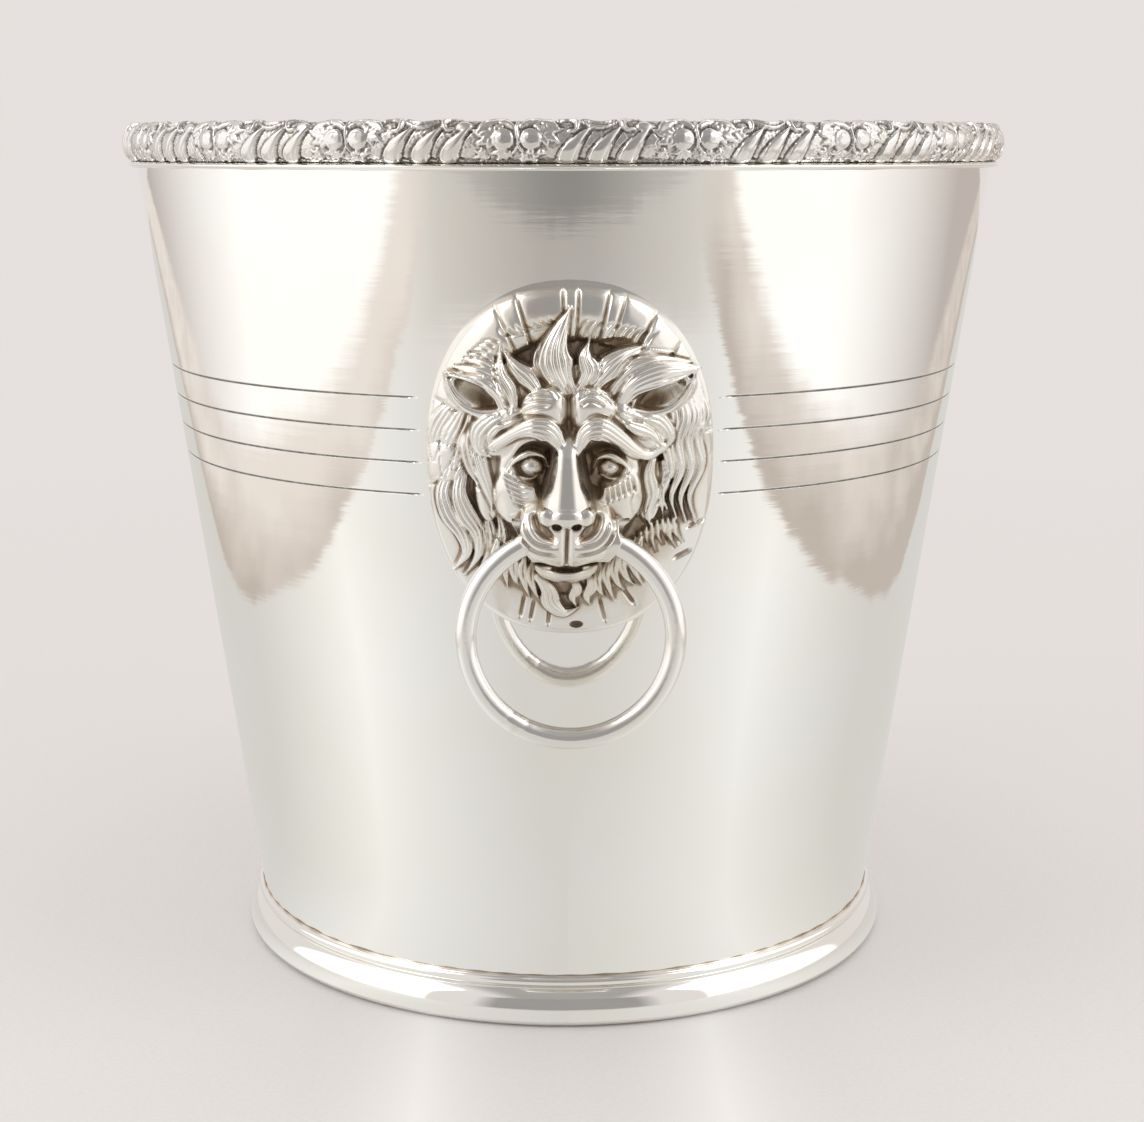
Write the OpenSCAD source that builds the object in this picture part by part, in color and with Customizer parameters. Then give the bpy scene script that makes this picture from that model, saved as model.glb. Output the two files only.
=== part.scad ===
// Silver champagne bucket: a spun conical body on a moulded foot, a die-struck border
// round the rim, and two lion masks, each with a drop ring that swings in its muzzle.
// The origin is the centre of the underside, +Z is up, and the front mask faces -Y.

/* [Body] */
// Overall height, from the foot's underside to the top of the border
total_h = 212.4; // [205:0.1:220]
// Outer radius that the wall would have at height 0
wall_r0 = 81.06; // [79:0.01:83]
// Outward lean of the wall, in mm of radius for each mm of height
wall_lean = 0.13875; // [0.12:0.00005:0.16]
// Thickness of the sheet that the wall is spun from
wall_t = 1.2; // [0.9:0.1:1.6]
// Height of the wall's lower edge, where the bottom plate is soldered in
wall_z0 = 6.5; // [5:0.1:8]
// Thickness of the bottom plate
base_t = 1.2; // [0.9:0.1:2]

/* [Engraved lines] */
// Number of engraved lines round the body
line_count = 4; // [1:1:6]
// Height of the lowest engraved line
line_z0 = 130.8; // [125:0.1:135]
// Height from one line to the next
line_pitch = 7.35; // [5:0.05:9]
// Width of a line
line_w = 0.7; // [0.3:0.1:1.2]
// Depth of a line
line_d = 0.3; // [0.1:0.05:0.5]
// Gap between a mask's edge and the end of each line
line_gap = 1.2; // [0.5:0.1:4]

/* [Foot] */
// Height of the foot moulding
foot_h = 11.8; // [11.5:0.1:13]
// Largest outer radius of the foot moulding
foot_r = 86.9; // [85.5:0.1:88]
// Height of the moulding's large lower round
foot_round_h = 9.9; // [9:0.1:10.5]
// Radius of the small bead along the moulding's top
foot_bead_r = 1.2; // [0.9:0.1:1.4]
// Thickness of the moulding's metal
foot_t = 1.0; // [0.7:0.1:1.4]

/* [Rim] */
// Height of the ornamental border
border_h = 9.6; // [8:0.1:11]
// Largest outer radius of the border
border_r = 112.5; // [111.5:0.1:114]
// How far the border reaches inward from its crown
border_in = 2.7; // [2.2:0.1:3.5]
// Thickness of the border's metal
border_t = 1.1; // [0.8:0.1:1.4]
// Height of the plain wire under the border
rim_wire_h = 1.3; // [0.8:0.1:2]
// How far that wire stands out from the wall
rim_wire_out = 2.0; // [1:0.1:2.6]
// Depth of the plain lining strip inside the rim
liner_h = 8; // [5:0.5:15]
// Thickness of the lining strip
liner_t = 0.9; // [0.6:0.1:1.2]

/* [Lion mask] */
// Width of a mask
mask_w = 63.6; // [60:0.1:66]
// Height of a mask
mask_h = 79; // [76:0.5:82]
// Height of a mask's centre
mask_z = 139; // [137:0.5:141]
// Fullness of the mask's oval outline, where 2 is an ellipse
mask_power = 2.3; // [2:0.05:3]
// Thickness of a mask's edge on the wall
mask_edge = 2.2; // [1.5:0.1:3]
// Thickness of the sheet that a mask is struck from
mask_t = 1.3; // [1:0.1:1.6]
// Height of the mane's dome above the wall
mane_h = 8; // [6:0.5:9]
// Diameter of the vent hole below the beard
vent_d = 2.4; // [1.5:0.1:3]

/* [Ring handle] */
// Outer diameter of a ring
ring_d = 50.6; // [49:0.1:52]
// Diameter of the ring's wire
ring_wire = 4.8; // [4:0.1:5.2]
// Height of a ring's centre as it hangs
ring_z = 101.8; // [100:0.1:103]
// Distance of a ring's plane from the bucket's axis
ring_y = 109.6; // [109:0.1:112]
// Height of the pivot above the ring's centre
pivot_up = 21.7; // [21.4:0.1:22]
// Half the width of the muzzle that the ring passes through
muzzle_x = 10.2; // [9.8:0.1:10.6]
// Clearance round the ring's wire inside the muzzle tube
ring_clear = 0.3; // [0.25:0.05:0.4]
// Thickness of the muzzle tube's metal
tube_t = 0.5; // [0.4:0.1:0.8]

/* [Hidden] */
$fn = 96;
silver = "#d9d7d0";
old_silver = "#b9b1a2";

// Outer radius of the wall at a height
function wall_r(z) = wall_r0 + wall_lean * z;
// Points of part of an ellipse, centre c, from angle a0 to a1
function arc(c, rx, rz, a0, a1, steps = 16) =
    [for (i = [0:steps]) let (a = a0 + (a1 - a0) * i / steps)
        [c[0] + rx * cos(a), c[1] + rz * sin(a)]];
// One coordinate of a superellipse
function bow(v) = sign(v) * pow(abs(v), 2 / mask_power);
// Closed superellipse outline, pulled in by an inset
function mask_outline(inset, steps = 48) =
    [for (i = [0:steps - 1]) let (a = 360 * i / steps)
        [(mask_w / 2 - inset) * bow(cos(a)), (mask_h / 2 - inset) * bow(sin(a))]];

// The border and the parts under it
border_z = total_h - border_h / 2;
border_out = 3.1;
crown_r = border_r - border_out;
wire_z = total_h - border_h - rim_wire_h + 0.2;
wall_top = total_h - 2.8;
// The foot's lower round
foot_mid = foot_round_h / 2;
foot_round_w = 4.4;
foot_core = foot_r - foot_round_w;
strip_r = wall_r(wall_z0) - 0.8;
strip_t = 1;
// The pivot, and the tube's bore: the arc that it holds rises and falls about the pivot
ring_r = (ring_d - ring_wire) / 2;
pivot_z = ring_z + pivot_up;
bore_r = max(ring_r - pivot_up, pivot_up - sqrt(pow(ring_r, 2) - pow(muzzle_x, 2)))
    + ring_wire / 2 * 1.08 + ring_clear;
tube_r = bore_r + tube_t;
line_half_angle = asin((mask_w / 2 + line_gap) / wall_r(mask_z));
ball_fn = 28;

// A frustum that follows the wall's outer face, set off outward by an amount
module wall_cone(z0, z1, off = 0) {
    translate([0, 0, z0])
        cylinder(h = z1 - z0, r1 = wall_r(z0) + off, r2 = wall_r(z1) + off);
}

// Spun conical wall with its engraved lines, which stop short of the masks
module body_wall() {
    color(silver) difference() {
        rotate_extrude()
            polygon([[wall_r(wall_z0) - wall_t, wall_z0], [wall_r(wall_z0), wall_z0],
                     [wall_r(wall_top), wall_top], [wall_r(wall_top) - wall_t, wall_top]]);
        for (i = [0:line_count - 1], side = [0, 180])
            rotate([0, 0, side - 90 + line_half_angle])
                rotate_extrude(angle = 180 - 2 * line_half_angle)
                    engraved_section(line_z0 + i * line_pitch);
    }
}

// Section of one engraved line, cut into the wall at a height
module engraved_section(z) {
    translate([wall_r(z), z])
        polygon([[-line_d, 0], [line_d, -line_w], [line_d, line_w]]);
}

// Bottom plate, soldered inside the wall's lower edge
module base_disc() {
    color(silver) translate([0, 0, wall_z0])
        cylinder(h = base_t, r = wall_r(wall_z0) - wall_t);
}

// Hollow drawn moulding round the foot: a small bead above a large round
module foot_moulding() {
    color(silver) rotate_extrude() difference() {
        union() {
            polygon(arc([foot_core, foot_mid], foot_round_w, foot_mid, -90, 90, 28));
            translate([strip_r, 0])
                square([foot_core - strip_r + 0.01, foot_round_h]);
            translate([wall_r(foot_h) + 0.3, foot_h - foot_bead_r])
                circle(r = foot_bead_r, $fn = 32);
            polygon([[wall_r(foot_round_h - 1) - 0.5, foot_round_h - 1],
                     [foot_core + 1.4, foot_round_h - 1],
                     [wall_r(foot_h) + 0.3, foot_h], [wall_r(foot_h) - 0.5, foot_h]]);
        }
        polygon(concat(
            arc([foot_core, foot_mid], foot_round_w - foot_t, foot_mid - foot_t, -90, 90, 24),
            [[strip_r - 1, foot_round_h - foot_t], [strip_r - 1, foot_t]]));
        polygon([[strip_r - 2, -1], [strip_r, -1], [strip_r, wall_z0], [wall_r(wall_z0), wall_z0],
                 [wall_r(foot_h + 1), foot_h + 1], [strip_r - 2, foot_h + 1]]);
    }
}

// Plain strip that closes the moulding's back and stands on the table
module foot_strip() {
    color(silver) difference() {
        cylinder(h = wall_z0, r = strip_r);
        translate([0, 0, -1])
            cylinder(h = wall_z0 + 2, r = strip_r - strip_t);
    }
}

// Die-struck border, a hollow strip that laps over the wall's top edge
module rim_border() {
    color(old_silver) rotate_extrude() difference() {
        polygon(concat(
            arc([crown_r, border_z], border_out, border_h / 2, -90, 90, 28),
            arc([crown_r, border_z], border_in, border_h / 2, 90, 150, 8),
            [[wall_r(wall_top) - wall_t, wall_top]]));
        polygon(concat(
            arc([crown_r, border_z], border_out - border_t, border_h / 2 - border_t, -90, 90, 24),
            [[wall_r(wall_top), wall_top - 0.2]]));
        polygon([[wall_r(wall_top) - 20, wall_top], [wall_r(wall_top), wall_top],
                 [wall_r(wire_z - 1), wire_z - 1], [wall_r(wall_top) - 20, wire_z - 1]]);
    }
}

// Plain wire soldered round the wall under the border
module rim_wire() {
    color(silver) rotate_extrude() difference() {
        polygon(concat(
            arc([wall_r(wire_z), wire_z + rim_wire_h / 2], rim_wire_out, rim_wire_h / 2, -90, 90, 14),
            [[wall_r(wire_z) - 0.5, wire_z + rim_wire_h], [wall_r(wire_z) - 0.5, wire_z]]));
        polygon([[wall_r(0), 0], [wall_r(total_h), total_h], [0, total_h], [0, 0]]);
        polygon(arc([crown_r, border_z], border_out, border_h / 2, -90, 90, 28));
    }
}

// Plain strip that lines the inside of the rim
module rim_liner() {
    low = wall_top - liner_h;
    color(silver) rotate_extrude()
        polygon([[wall_r(low) - wall_t, low], [wall_r(wall_top) - wall_t, wall_top],
                 [wall_r(wall_top) - wall_t - liner_t, wall_top],
                 [wall_r(low) - wall_t - liner_t, low + liner_t]]);
}

// A ball of a mask's relief, mirrored to both sides when its x isn't 0
module ball(x, out, z, r) {
    for (s = x == 0 ? [0] : [-1, 1])
        translate([s * x, -out, z])
            sphere(r = r, $fn = ball_fn);
}

// Leans its children back with the wall, about the mask's centre
module leaning() {
    translate([0, -wall_r(mask_z), mask_z])
        rotate([atan(wall_lean), 0, 0])
            children();
}

// The oval plate that follows the wall, an edge thickness thick
module mask_plate(inset) {
    intersection() {
        leaning()
            rotate([90, 0, 0])
                translate([0, 0, -14])
                    linear_extrude(height = 28)
                        polygon(mask_outline(inset));
        wall_cone(mask_z - mask_h, mask_z + mask_h, mask_edge - inset);
    }
}

// The dome of the mane, raised from the plate
module mask_dome(inset) {
    hull() for (step = [[-6, 3.5, 7], [0, mane_h, 15]])
        leaning()
            rotate([90, 0, 0])
                translate([0, 0, step[0]])
                    linear_extrude(height = step[1] - step[0] - inset)
                        polygon(mask_outline(step[2] + inset));
}

// Brow and cheeks, tapering to the jaw
module mask_head(inset) {
    hull() {
        ball(7, wall_r(mask_z) - 0.5, mask_z + 10, 11.5 - inset);
        ball(8, wall_r(mask_z) - 3, mask_z - 7, 10 - inset);
        ball(0, wall_r(mask_z) - 3, mask_z - 24, 9 - inset);
    }
}

// Muzzle round the tube, and the nose's bridge above it
module mask_muzzle() {
    hull() {
        for (s = [-1, 1])
            translate([s * (muzzle_x - 4.2), -ring_y, pivot_z])
                rotate([0, 90, 0])
                    cylinder(h = 8, r = tube_r + 0.9, center = true, $fn = ball_fn);
        ball(0, wall_r(mask_z), pivot_z + 2, 8);
    }
    hull() {
        ball(0, ring_y + 6.2, pivot_z + 6, 3);
        ball(0, wall_r(mask_z) + 8, mask_z + 8, 3.4);
    }
    ball(0, ring_y - 1, pivot_z - 7.4, 4.2);
}

// A hollow struck lion mask that fits the wall, with a hole each side of its muzzle
module lion_mask() {
    color(old_silver) difference() {
        union() {
            mask_plate(0);
            mask_dome(0);
            mask_head(0);
            mask_muzzle();
            ball(18, wall_r(mask_z) + 4, mask_z + 15, 4.5);
            ball(22, wall_r(mask_z) + 3.5, mask_z + 17.5, 3.2);
        }
        wall_cone(mask_z - mask_h, mask_z + mask_h);
        difference() {
            union() {
                mask_plate(mask_t);
                mask_dome(mask_t);
                mask_head(mask_t);
            }
            wall_cone(mask_z - mask_h, mask_z + mask_h, -5);
        }
        translate([0, -ring_y, pivot_z])
            rotate([0, 90, 0])
                cylinder(h = 3 * muzzle_x, r = tube_r, center = true);
        translate([1.5, -ring_y, mask_z - mask_h / 2 + 2.6])
            rotate([-90, 0, 0])
                cylinder(h = ring_y, r = vent_d / 2);
    }
}

// Tube across the inside of a muzzle, in which the ring turns
module ring_tube() {
    color(silver) translate([0, -ring_y, pivot_z])
        rotate([0, 90, 0]) difference() {
            cylinder(h = 2 * muzzle_x, r = tube_r, center = true);
            cylinder(h = 3 * muzzle_x, r = bore_r, center = true);
        }
}

// Drop ring of round wire, brazed into one loop, hanging straight down
module ring() {
    color(silver) translate([0, -ring_y, ring_z])
        rotate([90, 0, 0])
            rotate_extrude()
                translate([ring_r, 0])
                    circle(r = ring_wire / 2, $fn = 32);
}

// The back set is the front set turned half way round the bucket
module at_back() {
    rotate([0, 0, 180])
        children();
}

body_wall();
base_disc();
foot_moulding();
foot_strip();
rim_border();
rim_wire();
rim_liner();
lion_mask();  // lion_mask_front
ring_tube();  // ring_tube_front
ring();  // ring_front
at_back() lion_mask();  // lion_mask_back
at_back() ring_tube();  // ring_tube_back
at_back() ring();  // ring_back
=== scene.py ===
"""Looks of the silver champagne bucket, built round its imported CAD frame.

Relief work is drawn in millimetres on a grid and then laid on the bucket: the lion mask is one
height field over the wall, and the rim's border is one repeat carried round the crown.
"""

import math

import bpy
import numpy as np
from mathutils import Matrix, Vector


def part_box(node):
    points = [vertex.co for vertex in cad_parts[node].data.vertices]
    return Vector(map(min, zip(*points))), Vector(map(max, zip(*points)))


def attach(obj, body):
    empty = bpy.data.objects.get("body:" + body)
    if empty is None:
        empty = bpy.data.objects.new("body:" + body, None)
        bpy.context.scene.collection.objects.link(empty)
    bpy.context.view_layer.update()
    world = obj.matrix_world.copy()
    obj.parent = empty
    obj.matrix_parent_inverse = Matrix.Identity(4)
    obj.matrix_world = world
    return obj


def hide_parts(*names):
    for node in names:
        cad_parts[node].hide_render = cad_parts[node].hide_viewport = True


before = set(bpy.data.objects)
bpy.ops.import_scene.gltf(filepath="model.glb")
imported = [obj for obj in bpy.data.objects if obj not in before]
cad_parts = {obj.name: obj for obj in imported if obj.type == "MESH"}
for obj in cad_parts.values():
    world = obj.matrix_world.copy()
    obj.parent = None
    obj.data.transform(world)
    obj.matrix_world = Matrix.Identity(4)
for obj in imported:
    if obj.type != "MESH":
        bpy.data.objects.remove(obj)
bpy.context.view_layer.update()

MM = 0.001

# ---------------------------------------------------------------- sizes from the frame, in mm


def box_mm(node):
    """A CAD node's lowest and highest corners in millimetres."""
    low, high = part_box(node)
    return np.array(low) / MM, np.array(high) / MM


WALL_T = 1.2
wall_low, wall_high = box_mm("body_wall")
base_high = box_mm("base_disc")[1]
foot_high = box_mm("foot_moulding")[1]
border_low, border_high = box_mm("rim_border")
wire_low, wire_high = box_mm("rim_wire")
mask_low, mask_high = box_mm("lion_mask_front")
ring_low, ring_high = box_mm("ring_front")
tube_low, tube_high = box_mm("ring_tube_front")

WALL_LOW, WALL_HIGH = wall_low[2], wall_high[2]
WALL_LEAN = (wall_high[0] - base_high[0] - WALL_T) / (WALL_HIGH - WALL_LOW)
WALL_R0 = wall_high[0] - WALL_LEAN * WALL_HIGH
TOTAL_H = border_high[2]
RIM_R = border_high[0]
BORDER_MID = (border_high[2] + border_low[2]) / 2
FOOT_H = foot_high[2]
FOOT_R = foot_high[0]
MASK_Z = (mask_high[2] + mask_low[2]) / 2
MASK_HALF_W = mask_high[0]
MASK_HALF_H = 39.5
MASK_POWER = 2.3
MASK_MEAN_HALF = 33
RING_WIRE = ring_high[1] - ring_low[1]
RING_R = (ring_high[0] - ring_low[0] - RING_WIRE) / 2
RING_Y = (ring_low[1] + ring_high[1]) / 2
RING_Z = (ring_low[2] + ring_high[2]) / 2
TUBE_R = (tube_high[2] - tube_low[2]) / 2
PIVOT_Z = (tube_high[2] + tube_low[2]) / 2
# the engraved lines: the lowest one's height, their spacing and number, their width and depth
LINE_Z0, LINE_PITCH, LINE_COUNT = 130.8, 7.35, 4
LINE_W, LINE_D = 0.55, 0.2
LINE_END = math.asin((MASK_HALF_W + 1.2) / (WALL_R0 + WALL_LEAN * 139))
# the border: repeats round the rim, where the first one starts, and the radius they are drawn at
REPEATS = 18.5
BORDER_START = math.radians(84.2)
BORDER_R = 109.5
# its crown: the centre's distance in from the rim, its half width and height, and the relief's share
CROWN_IN, CROWN_RX, CROWN_RZ = 3.4, 2.45, 4.1
BORDER_LIFT = 0.66
# the vent hole below each mask's beard: its offset in X, its height, and its half width and height
VENT_X, VENT_Z, VENT_RX, VENT_RZ = 1.4, MASK_Z - 36.9, 1.5, 0.85
# the camera, solved from the ellipses of the rim, the engraved lines and the foot
CAMERA_PLACE = (-0.00733, -0.5433, 0.2063)
CAMERA_DOWN, CAMERA_RIGHT = 11.41, 1.0
CAMERA_LENS, CAMERA_SENSOR = 64.38, 36
FLOOR_HALF = 6000
TURN = 2 * math.pi


def wall_r(z):
    """Radius of the wall's outer face at a height."""
    return WALL_R0 + WALL_LEAN * z


def angles(steps):
    """Evenly spaced angles round a full turn, in radians."""
    return np.arange(steps) * TURN / steps


# ---------------------------------------------------------------- curves and fields


def curve(points, count=48):
    """A smooth path through a few points (Catmull-Rom), evenly spaced in its parameter."""
    p = np.array(points, float)
    if len(p) == 2:
        t = np.linspace(0, 1, count)[:, None]
        return p[0] * (1 - t) + p[1] * t
    p = np.vstack([2 * p[0] - p[1], p, 2 * p[-1] - p[-2]])
    spans = len(p) - 3
    out = []
    for t in np.linspace(0, spans, count):
        i = min(int(t), spans - 1)
        f = t - i
        a, b, c, d = p[i:i + 4]
        out.append(0.5 * (2 * b + (c - a) * f + (2 * a - 5 * b + 4 * c - d) * f ** 2
                          + (3 * b - a - 3 * c + d) * f ** 3))
    return np.array(out)


def smooth(v):
    """A soft step from 0 to 1."""
    v = np.clip(v, 0, 1)
    return v * v * (3 - 2 * v)


def soft_max(a, b, k):
    """The larger of two heights, blended over k millimetres."""
    return 0.5 * (a + b + np.sqrt((a - b) ** 2 + k * k))


def blur(field, steps, wrap=False):
    """A Gaussian blur, steps grid cells wide."""
    reach = int(3 * steps) + 1
    kernel = np.exp(-0.5 * (np.arange(-reach, reach + 1) / steps) ** 2)
    kernel /= kernel.sum()
    out = field
    for axis in (0, 1):
        pad = [(0, 0), (0, 0)]
        pad[axis] = (reach, reach)
        wide = np.pad(out, pad, mode="wrap" if wrap and axis == 1 else "edge")
        out = np.apply_along_axis(lambda row: np.convolve(row, kernel, "valid"), axis, wide)
    return out


class Relief:
    """A height field in millimetres, chased by laying shapes on it and cutting into it."""

    def __init__(self, x, z, h):
        self.x, self.z, self.h = x, z, h
        self.home = x
        # stain holds painted patches of tarnish colour, partly patina and partly painted shade; clean wipes
        # them off
        self.stain, self.clean = np.zeros_like(x), np.zeros_like(x)

    def slide(self, dx):
        """Moves everything drawn from now on by dx along x."""
        self.x = self.home - dx

    def shade(self, cx, cz, rx, rz, amount, turn=0.0):
        """Deepens the tarnish colour over an oval patch, both patina and painted shade, most at its centre,
        or wipes it off if below 0.
        """
        fall = smooth(1.6 - 1.6 * self.radius(cx, cz, rx, rz, turn) / 1.4)
        self.stain = np.maximum(self.stain, amount * fall)
        self.clean = np.maximum(self.clean, -amount * fall)

    def around(self, path, reach):
        """Grid points near a path, with their place along it (0 to 1) and signed distance."""
        low, high = path.min(0) - reach, path.max(0) + reach
        pick = np.nonzero((self.x > low[0]) & (self.x < high[0]) & (self.z > low[1]) & (self.z < high[1]))
        q = np.stack([self.x[pick], self.z[pick]], 1)
        best = np.full(len(q), 1e9)
        along = np.zeros(len(q))
        side = np.ones(len(q))
        for i in range(len(path) - 1):
            step = path[i + 1] - path[i]
            length2 = step @ step + 1e-12
            f = np.clip((q - path[i]) @ step / length2, 0, 1)
            off = q - path[i] - f[:, None] * step
            dist = np.hypot(off[:, 0], off[:, 1])
            closer = dist < best
            best[closer] = dist[closer]
            along[closer] = (i + f[closer]) / (len(path) - 1)
            side[closer] = np.sign(step[0] * off[closer, 1] - step[1] * off[closer, 0])
        side[side == 0] = 1
        return pick, along, side * best

    def lock(self, points, width, top, strands=3, root=0.55, crown=1.3, cut=0.42, dig=0.7,
             tip=0.12, belly=0.45):
        """A lock of hair or a leaf-shaped lobe: a crowned strip that narrows to its tip.

        top lists its heights from root to tip, root and tip are its widths there as parts of width,
        belly is where it is widest, crown its arch, cut its strands' depth and dig the trench beside it.
        """
        path = curve(points)
        pick, t, side = self.around(path, width / 2 + 1.5)
        swell = root + (1 - root) * smooth(t / belly)
        point = np.clip((1 - t) / (1 - belly), 0, 1) ** 0.75
        half = width / 2 * np.maximum(swell * np.minimum(point, 1), tip)
        u = side / half
        inside = np.abs(u) < 1
        steps = np.linspace(0, 1, 61)
        heights = np.pad(np.interp(steps, np.linspace(0, 1, len(top)), top), 8, "edge")
        window = np.hanning(17) / np.hanning(17).sum()
        level = np.interp(t, steps, np.convolve(heights, window, "valid"))
        phase = np.abs(2 * ((u + 1) / 2 * strands % 1) - 1)
        depth = np.minimum(cut, half * 1.15 / strands)
        lid = level - crown * (1 - np.sqrt(np.clip(1 - u * u, 0, 1))) - depth * phase ** 3
        h = self.h[pick]
        trench = dig * np.exp(-((np.abs(side) - half) / 0.32) ** 2)
        ends = (t > 0.001) & (t < 0.999)
        h = np.where(~inside & ends, h - trench, h)
        h = np.where(inside, np.maximum(h, lid), h)
        self.h[pick] = h

    def groove(self, points, width, depth, fade=0.2):
        """A chased line along a path, fading at both ends."""
        path = curve(points)
        pick, t, side = self.around(path, width * 3)
        ends = smooth(np.minimum(t, 1 - t) / fade)
        self.h[pick] -= depth * ends * np.exp(-(side / width) ** 2)

    def locks(self, table, **style):
        """Several locks of one style, each given as (points, width, top, strands)."""
        for row in table:
            self.lock(*row, **style)

    def radius(self, cx, cz, rx, rz, turn=0.0):
        """Elliptical radius of every grid point about a centre."""
        c, s = math.cos(math.radians(turn)), math.sin(math.radians(turn))
        dx, dz = self.x - cx, self.z - cz
        return np.hypot((dx * c + dz * s) / rx, (dz * c - dx * s) / rz)

    def dome(self, cx, cz, rx, rz, top, drop, blend=0.6, turn=0.0, power=2.0):
        """A crowned oval laid on the relief and blended into it."""
        r = self.radius(cx, cz, rx, rz, turn)
        inside = r < 1
        cap = top - drop * (1 - np.sqrt(np.clip(1 - r ** power, 0, 1)))
        h = soft_max(self.h, cap, blend)
        ease = smooth((1 - r) * 6)
        self.h = np.where(inside, self.h + (h - self.h) * ease, self.h)

    def sink(self, cx, cz, rx, rz, floor, turn=0.0, edge=2.0):
        """A hollow down to a floor height, rounded at its edge."""
        r = np.clip(self.radius(cx, cz, rx, rz, turn), 0, 1)
        mix = smooth(r ** edge)
        lower = np.minimum(self.h, floor)
        self.h = lower + (self.h - lower) * mix


def both(points):
    """A path and its mirror image."""
    return [points, [(-x, z) for x, z in points]]


# ---------------------------------------------------------------- meshes


def link(name, data):
    """A new object in the scene for some data."""
    obj = bpy.data.objects.new(name, data)
    bpy.context.scene.collection.objects.link(obj)
    return obj


def make_object(name, vertices, faces, attributes=None):
    """A mesh object from arrays in millimetres, with float attributes on its points."""
    mesh = bpy.data.meshes.new(name)
    faces = np.asarray(faces, np.int32)
    mesh.vertices.add(len(vertices))
    mesh.vertices.foreach_set("co", (np.asarray(vertices, float) * MM).ravel())
    mesh.loops.add(faces.size)
    mesh.loops.foreach_set("vertex_index", faces.ravel())
    mesh.polygons.add(len(faces))
    mesh.polygons.foreach_set("loop_start", np.arange(0, faces.size, faces.shape[1], dtype=np.int32))
    mesh.polygons.foreach_set("use_smooth", np.full(len(faces), True))
    for key, values in (attributes or {}).items():
        layer = mesh.attributes.new(key, "FLOAT", "POINT")
        layer.data.foreach_set("value", np.asarray(values, np.float32).ravel())
    mesh.update(calc_edges=True)
    mesh.validate()
    return link(name, mesh)


def grid_faces(rows, columns, wrap_rows=False, wrap_columns=False):
    """Quads of a grid of points stored row by row."""
    i = np.arange(rows if wrap_rows else rows - 1)
    j = np.arange(columns if wrap_columns else columns - 1)
    i, j = np.meshgrid(i, j, indexing="ij")
    i2, j2 = (i + 1) % rows, (j + 1) % columns
    quads = np.stack([i * columns + j, i * columns + j2, i2 * columns + j2, i2 * columns + j], -1)
    return quads.reshape(-1, 4)


def arc(cx, cz, rx, rz, start, end, count=16):
    """Points along part of an ellipse, in degrees."""
    a = np.radians(np.linspace(start, end, count))
    return np.stack([cx + rx * np.cos(a), cz + rz * np.sin(a)], 1)


def revolve(name, r, z, recess):
    """A closed surface about the bucket's axis, from radii and heights by row and by angle."""
    angle = angles(r.shape[1])
    points = np.stack([r * np.cos(angle), r * np.sin(angle), z], -1).reshape(-1, 3)
    return make_object(name, points, grid_faces(*r.shape, True, True), {"recess": recess})


def sharpen(obj, degrees):
    """Keeps true edges crisp under smooth shading."""
    obj.data.set_sharp_from_angle(angle=math.radians(degrees))
    return obj


# ---------------------------------------------------------------- materials


class Value:
    """A node's output that takes arithmetic: each step becomes one Math node."""

    def __init__(self, nodes, socket):
        self.nodes, self.socket = nodes, socket

    def step(operation):
        return lambda self, other=0: self.nodes.math(operation, self, other)

    __add__, __sub__, __abs__ = step("ADD"), step("SUBTRACT"), step("ABSOLUTE")
    __mul__, __truediv__, __pow__ = step("MULTIPLY"), step("DIVIDE"), step("POWER")

    def __rsub__(self, other):
        return self.nodes.math("SUBTRACT", other, self)


class Nodes:
    """A short way to write a material's node tree."""

    def __init__(self, name):
        self.material = bpy.data.materials.new(name)
        self.material.use_nodes = True
        self.tree = self.material.node_tree
        self.shader = self.tree.nodes["Principled BSDF"]

    def add(self, kind, **settings):
        node = self.tree.nodes.new(kind)
        for key, value in settings.items():
            if key in node.inputs.keys():
                self.put(value, node.inputs[key])
            else:
                setattr(node, key, value)
        return node

    def put(self, value, socket):
        value = getattr(value, "socket", value)
        if isinstance(value, bpy.types.NodeSocket):
            self.tree.links.new(value, socket)
        else:
            socket.default_value = value

    def fill(self, node, values, output=0):
        """Puts values into a node's numbered inputs and gives back one output."""
        for index, value in values.items():
            self.put(value, node.inputs[index])
        return Value(self, node.outputs[output])

    def math(self, operation, a, b=0, clamp=False):
        return self.fill(self.add("ShaderNodeMath", operation=operation, use_clamp=clamp), {0: a, 1: b})

    def spread(self, value, low, high, to_low=0, to_high=1):
        """A value's range from low to high, carried over to another range and held at its ends."""
        node = self.add("ShaderNodeMapRange")
        return self.fill(node, {0: value, 1: low, 2: high, 3: to_low, 4: to_high})

    def tent(self, value, centre, half):
        """1 at the centre, down to 0 at half away from it."""
        return 1 - self.math("MINIMUM", abs((value - centre) / half), 1)

    def mix(self, factor, a, b, blend="MIX"):
        """Two colours mixed; a plain colour is given as three numbers."""
        a, b = (c + (1,) if isinstance(c, tuple) else c for c in (a, b))
        node = self.add("ShaderNodeMix", data_type="RGBA", blend_type=blend)
        return self.fill(node, {0: factor, 6: a, 7: b}, 2)

    def object_space(self):
        return self.add("ShaderNodeTexCoord").outputs["Object"]

    def plan(self):
        """X and Y in object space, in metres."""
        split = self.add("ShaderNodeSeparateXYZ", Vector=self.object_space())
        return Value(self, split.outputs[0]), Value(self, split.outputs[1])

    def noise(self, scale, detail=2, stretch=None):
        """Noise in object space, in cells per metre."""
        place = self.object_space()
        if stretch:
            place = self.add("ShaderNodeMapping", Vector=place, Scale=stretch).outputs[0]
        node = self.add("ShaderNodeTexNoise", Vector=place, Scale=scale, Detail=detail)
        return Value(self, node.outputs[0])

    def bump(self, height, strength, distance):
        return self.add("ShaderNodeBump", Height=height, Strength=strength, Distance=distance).outputs[0]

    def set(self, **sockets):
        for key, value in sockets.items():
            self.put(value, self.shader.inputs[key.replace("_", " ")])
        return self.material
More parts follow.
